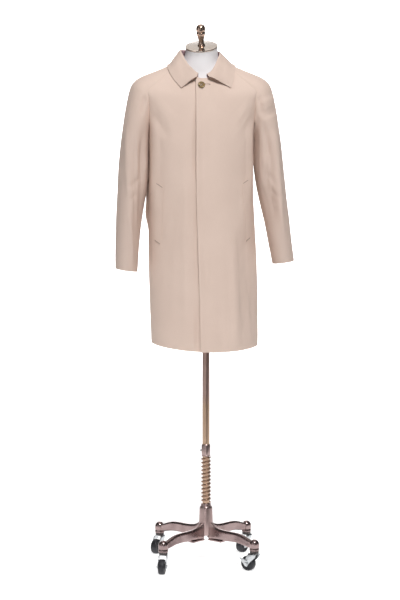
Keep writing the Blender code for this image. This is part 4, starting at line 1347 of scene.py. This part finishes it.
button = turn("horn_button", BUTTON, BUTTON_STEPS)
for x, y in ((-1, -1), (1, -1), (1, 1), (-1, 1)):
    bore(button, x * HOLE_OFF, y * HOLE_OFF)
pick(button)
bpy.ops.object.mode_set(mode="EDIT")
bpy.ops.mesh.select_all(action="SELECT")
bpy.ops.mesh.remove_doubles(threshold=MERGE)
bpy.ops.object.mode_set(mode="OBJECT")
smooth(button, degrees=40)
out = Vector((0.0, -math.cos(BUTTON_TILT), math.sin(BUTTON_TILT)))
set_button = Matrix.Translation((low + high) / 2 - out * BUTTON_MIDDLE) @ turned_to(out)
button.data.transform(set_button)
hand_over(button, horn_finish(), "dressed_form", "horn", "button")
strands = []
for turned in (-1, 1):
    reach = Vector((HOLE_OFF, turned * HOLE_OFF, 0))
    lift = Vector((0, 0, THREAD_HEIGHT + THREAD_CROSS * turned))
    strands.append(tack("crossed_thread", (lift - reach, lift + reach), THREAD_RADIUS))
crossed = join(*strands)
crossed.data.transform(set_button)
hand_over(crossed, dark_thread, "dressed_form", "horn")

# Stage: pale paper on the floor that sweeps up behind the stand, lit by soft boxes under a faint even sky.
# It ends close in front of the stand, because the polished base would mirror it.

FLOOR_HALF = 4.2
FLOOR_FRONT = -1.15
SWEEP_BACK = 11.0
SWEEP_SPREAD = 2.4
SWEEP_HEIGHT = 7.0
SWEEP_ROUND = 2.4
SWEEP_STEPS = 16
BACK_EDGE = SWEEP_BACK - 0.1
WHITE = (1.0, 1.0, 1.0, 1.0)
PAPER_SHADE, PAPER_PALE = (0.90, 0.90, 0.90), (0.92, 0.92, 0.92)
PAPER_GLOW = 0.66
SKY_GLOW = 0.07
# Lamps: name, place, what it is turned to, width and height, watts
LAMPS = (
    ("key", (0.45, -3.6, 4.8), (0, 0, 1.2), (1.2, 1.2), 207.0),
    ("left_panel", (-3.0, -2.2, 1.3), (0, 0, 1.0), (1.6, 3.0), 14.0),
    ("right_panel", (3.2, -2.6, 1.6), (0, 0, 1.0), (1.0, 2.4), 2.0),
    ("front_panel", (-0.7, -6.4, 0.9), (0, 0, 0.6), (1.6, 1.6), 14.0),
    ("low_strip", (-1.3, -3.2, -0.25), (0, 0, 0.4), (0.35, 1.0), 6.5),
    ("overhead", (0, -0.8, 6.2), (0, 0, 0), (6.5, 6.5), 60.0),
    ("top", (-0.2, 2.5, 4.7), (0, 0, 1.7), (3.6, 3.6), 28.0),
    ("back_panel", (0.5, 6.8, 2.6), (0, 0, 1.1), (2.4, 2.4), 26.0),
    ("sweep_left", (-2.6, 7.2, 3.4), (0.4, 10.6, 1.6), (1.6, 2.4), 150.0),
    ("sweep_right", (2.6, 7.2, 3.4), (-0.4, 10.6, 1.6), (1.6, 2.4), 150.0),
)

floor = begin("pale_floor", bpy.ops.mesh.primitive_plane_add, size=2 * FLOOR_HALF)
for vertex in floor.data.vertices:
    behind = vertex.co.y > 0
    vertex.co.x *= SWEEP_SPREAD if behind else 1.0
    vertex.co.y = SWEEP_BACK if behind else FLOOR_FRONT
for edge in floor.data.edges:
    edge.select = all(floor.data.vertices[v].co.y > BACK_EDGE for v in edge.vertices)
for face in floor.data.polygons:
    face.select = False
for vertex in floor.data.vertices:
    vertex.select = vertex.co.y > BACK_EDGE
bpy.ops.object.mode_set(mode="EDIT")
bpy.ops.mesh.select_mode(type="EDGE")
bpy.ops.mesh.extrude_region_move(TRANSFORM_OT_translate={"value": (0, 0, SWEEP_HEIGHT)})
bpy.ops.object.mode_set(mode="OBJECT")
modify(
    floor, "BEVEL", width=SWEEP_ROUND, segments=SWEEP_STEPS, limit_method="ANGLE",
    angle_limit=math.radians(40),
)
smooth(floor, degrees=60)
even = {
    "Roughness": 0.9,
    "Specular IOR Level": 0.1,
    "Emission Color": WHITE,
    "Emission Strength": PAPER_GLOW,
}
paper, place = new_finish("pale_paper", even)
feed(paper, {"Base Color": place.noise(3.0, 2.0).blend(PAPER_SHADE, PAPER_PALE)})
floor.data.materials.append(paper)


def soft_box(name, place, aim, size, power):
    """A rectangular area lamp at a place, turned to what it lights."""
    lamp = begin(name, bpy.ops.object.light_add, type="AREA", location=place)
    lamp.data.shape = "RECTANGLE"
    lamp.data.size, lamp.data.size_y = size
    lamp.data.energy = power
    lamp.rotation_euler = (Vector(aim) - Vector(place)).to_track_quat("-Z", "Y").to_euler()


for lamp in LAMPS:
    soft_box(*lamp)
world = bpy.data.worlds.new("even_sky")
bpy.context.scene.world = world
world.use_nodes = True
world.node_tree.nodes["Background"].inputs["Color"].default_value = WHITE
world.node_tree.nodes["Background"].inputs["Strength"].default_value = SKY_GLOW
bpy.context.scene.view_settings.view_transform = "Standard"

# Camera: a long lens at chest height, a little to the wearer's right of the coat.
# It looks slightly down, so that the whole stand from castors to finial is in the picture.

CAMERA_TURN = math.radians(3.5)
CAMERA_SHIFT = -0.0204
CAMERA_AWAY = 6.0
CAMERA_HEIGHT = 1.423
AIM_HEIGHT = 0.913
LENS = 106.2
SENSOR = 36.0

base = Vector((POLE_X, POLE_Y, 0))
right = Vector((math.cos(CAMERA_TURN), -math.sin(CAMERA_TURN), 0))
ahead = Vector((math.sin(CAMERA_TURN), math.cos(CAMERA_TURN), 0))
stand = base + right * CAMERA_SHIFT - ahead * CAMERA_AWAY + Vector((0, 0, CAMERA_HEIGHT + LEVEL))
target = base + right * CAMERA_SHIFT + Vector((0, 0, AIM_HEIGHT + LEVEL))
bpy.ops.object.camera_add(location=stand)
camera = bpy.context.object
camera.rotation_euler = (target - stand).to_track_quat("-Z", "Y").to_euler()
camera.data.lens = LENS
camera.data.sensor_width = SENSOR
bpy.context.scene.camera = camera

bpy.context.view_layer.update()
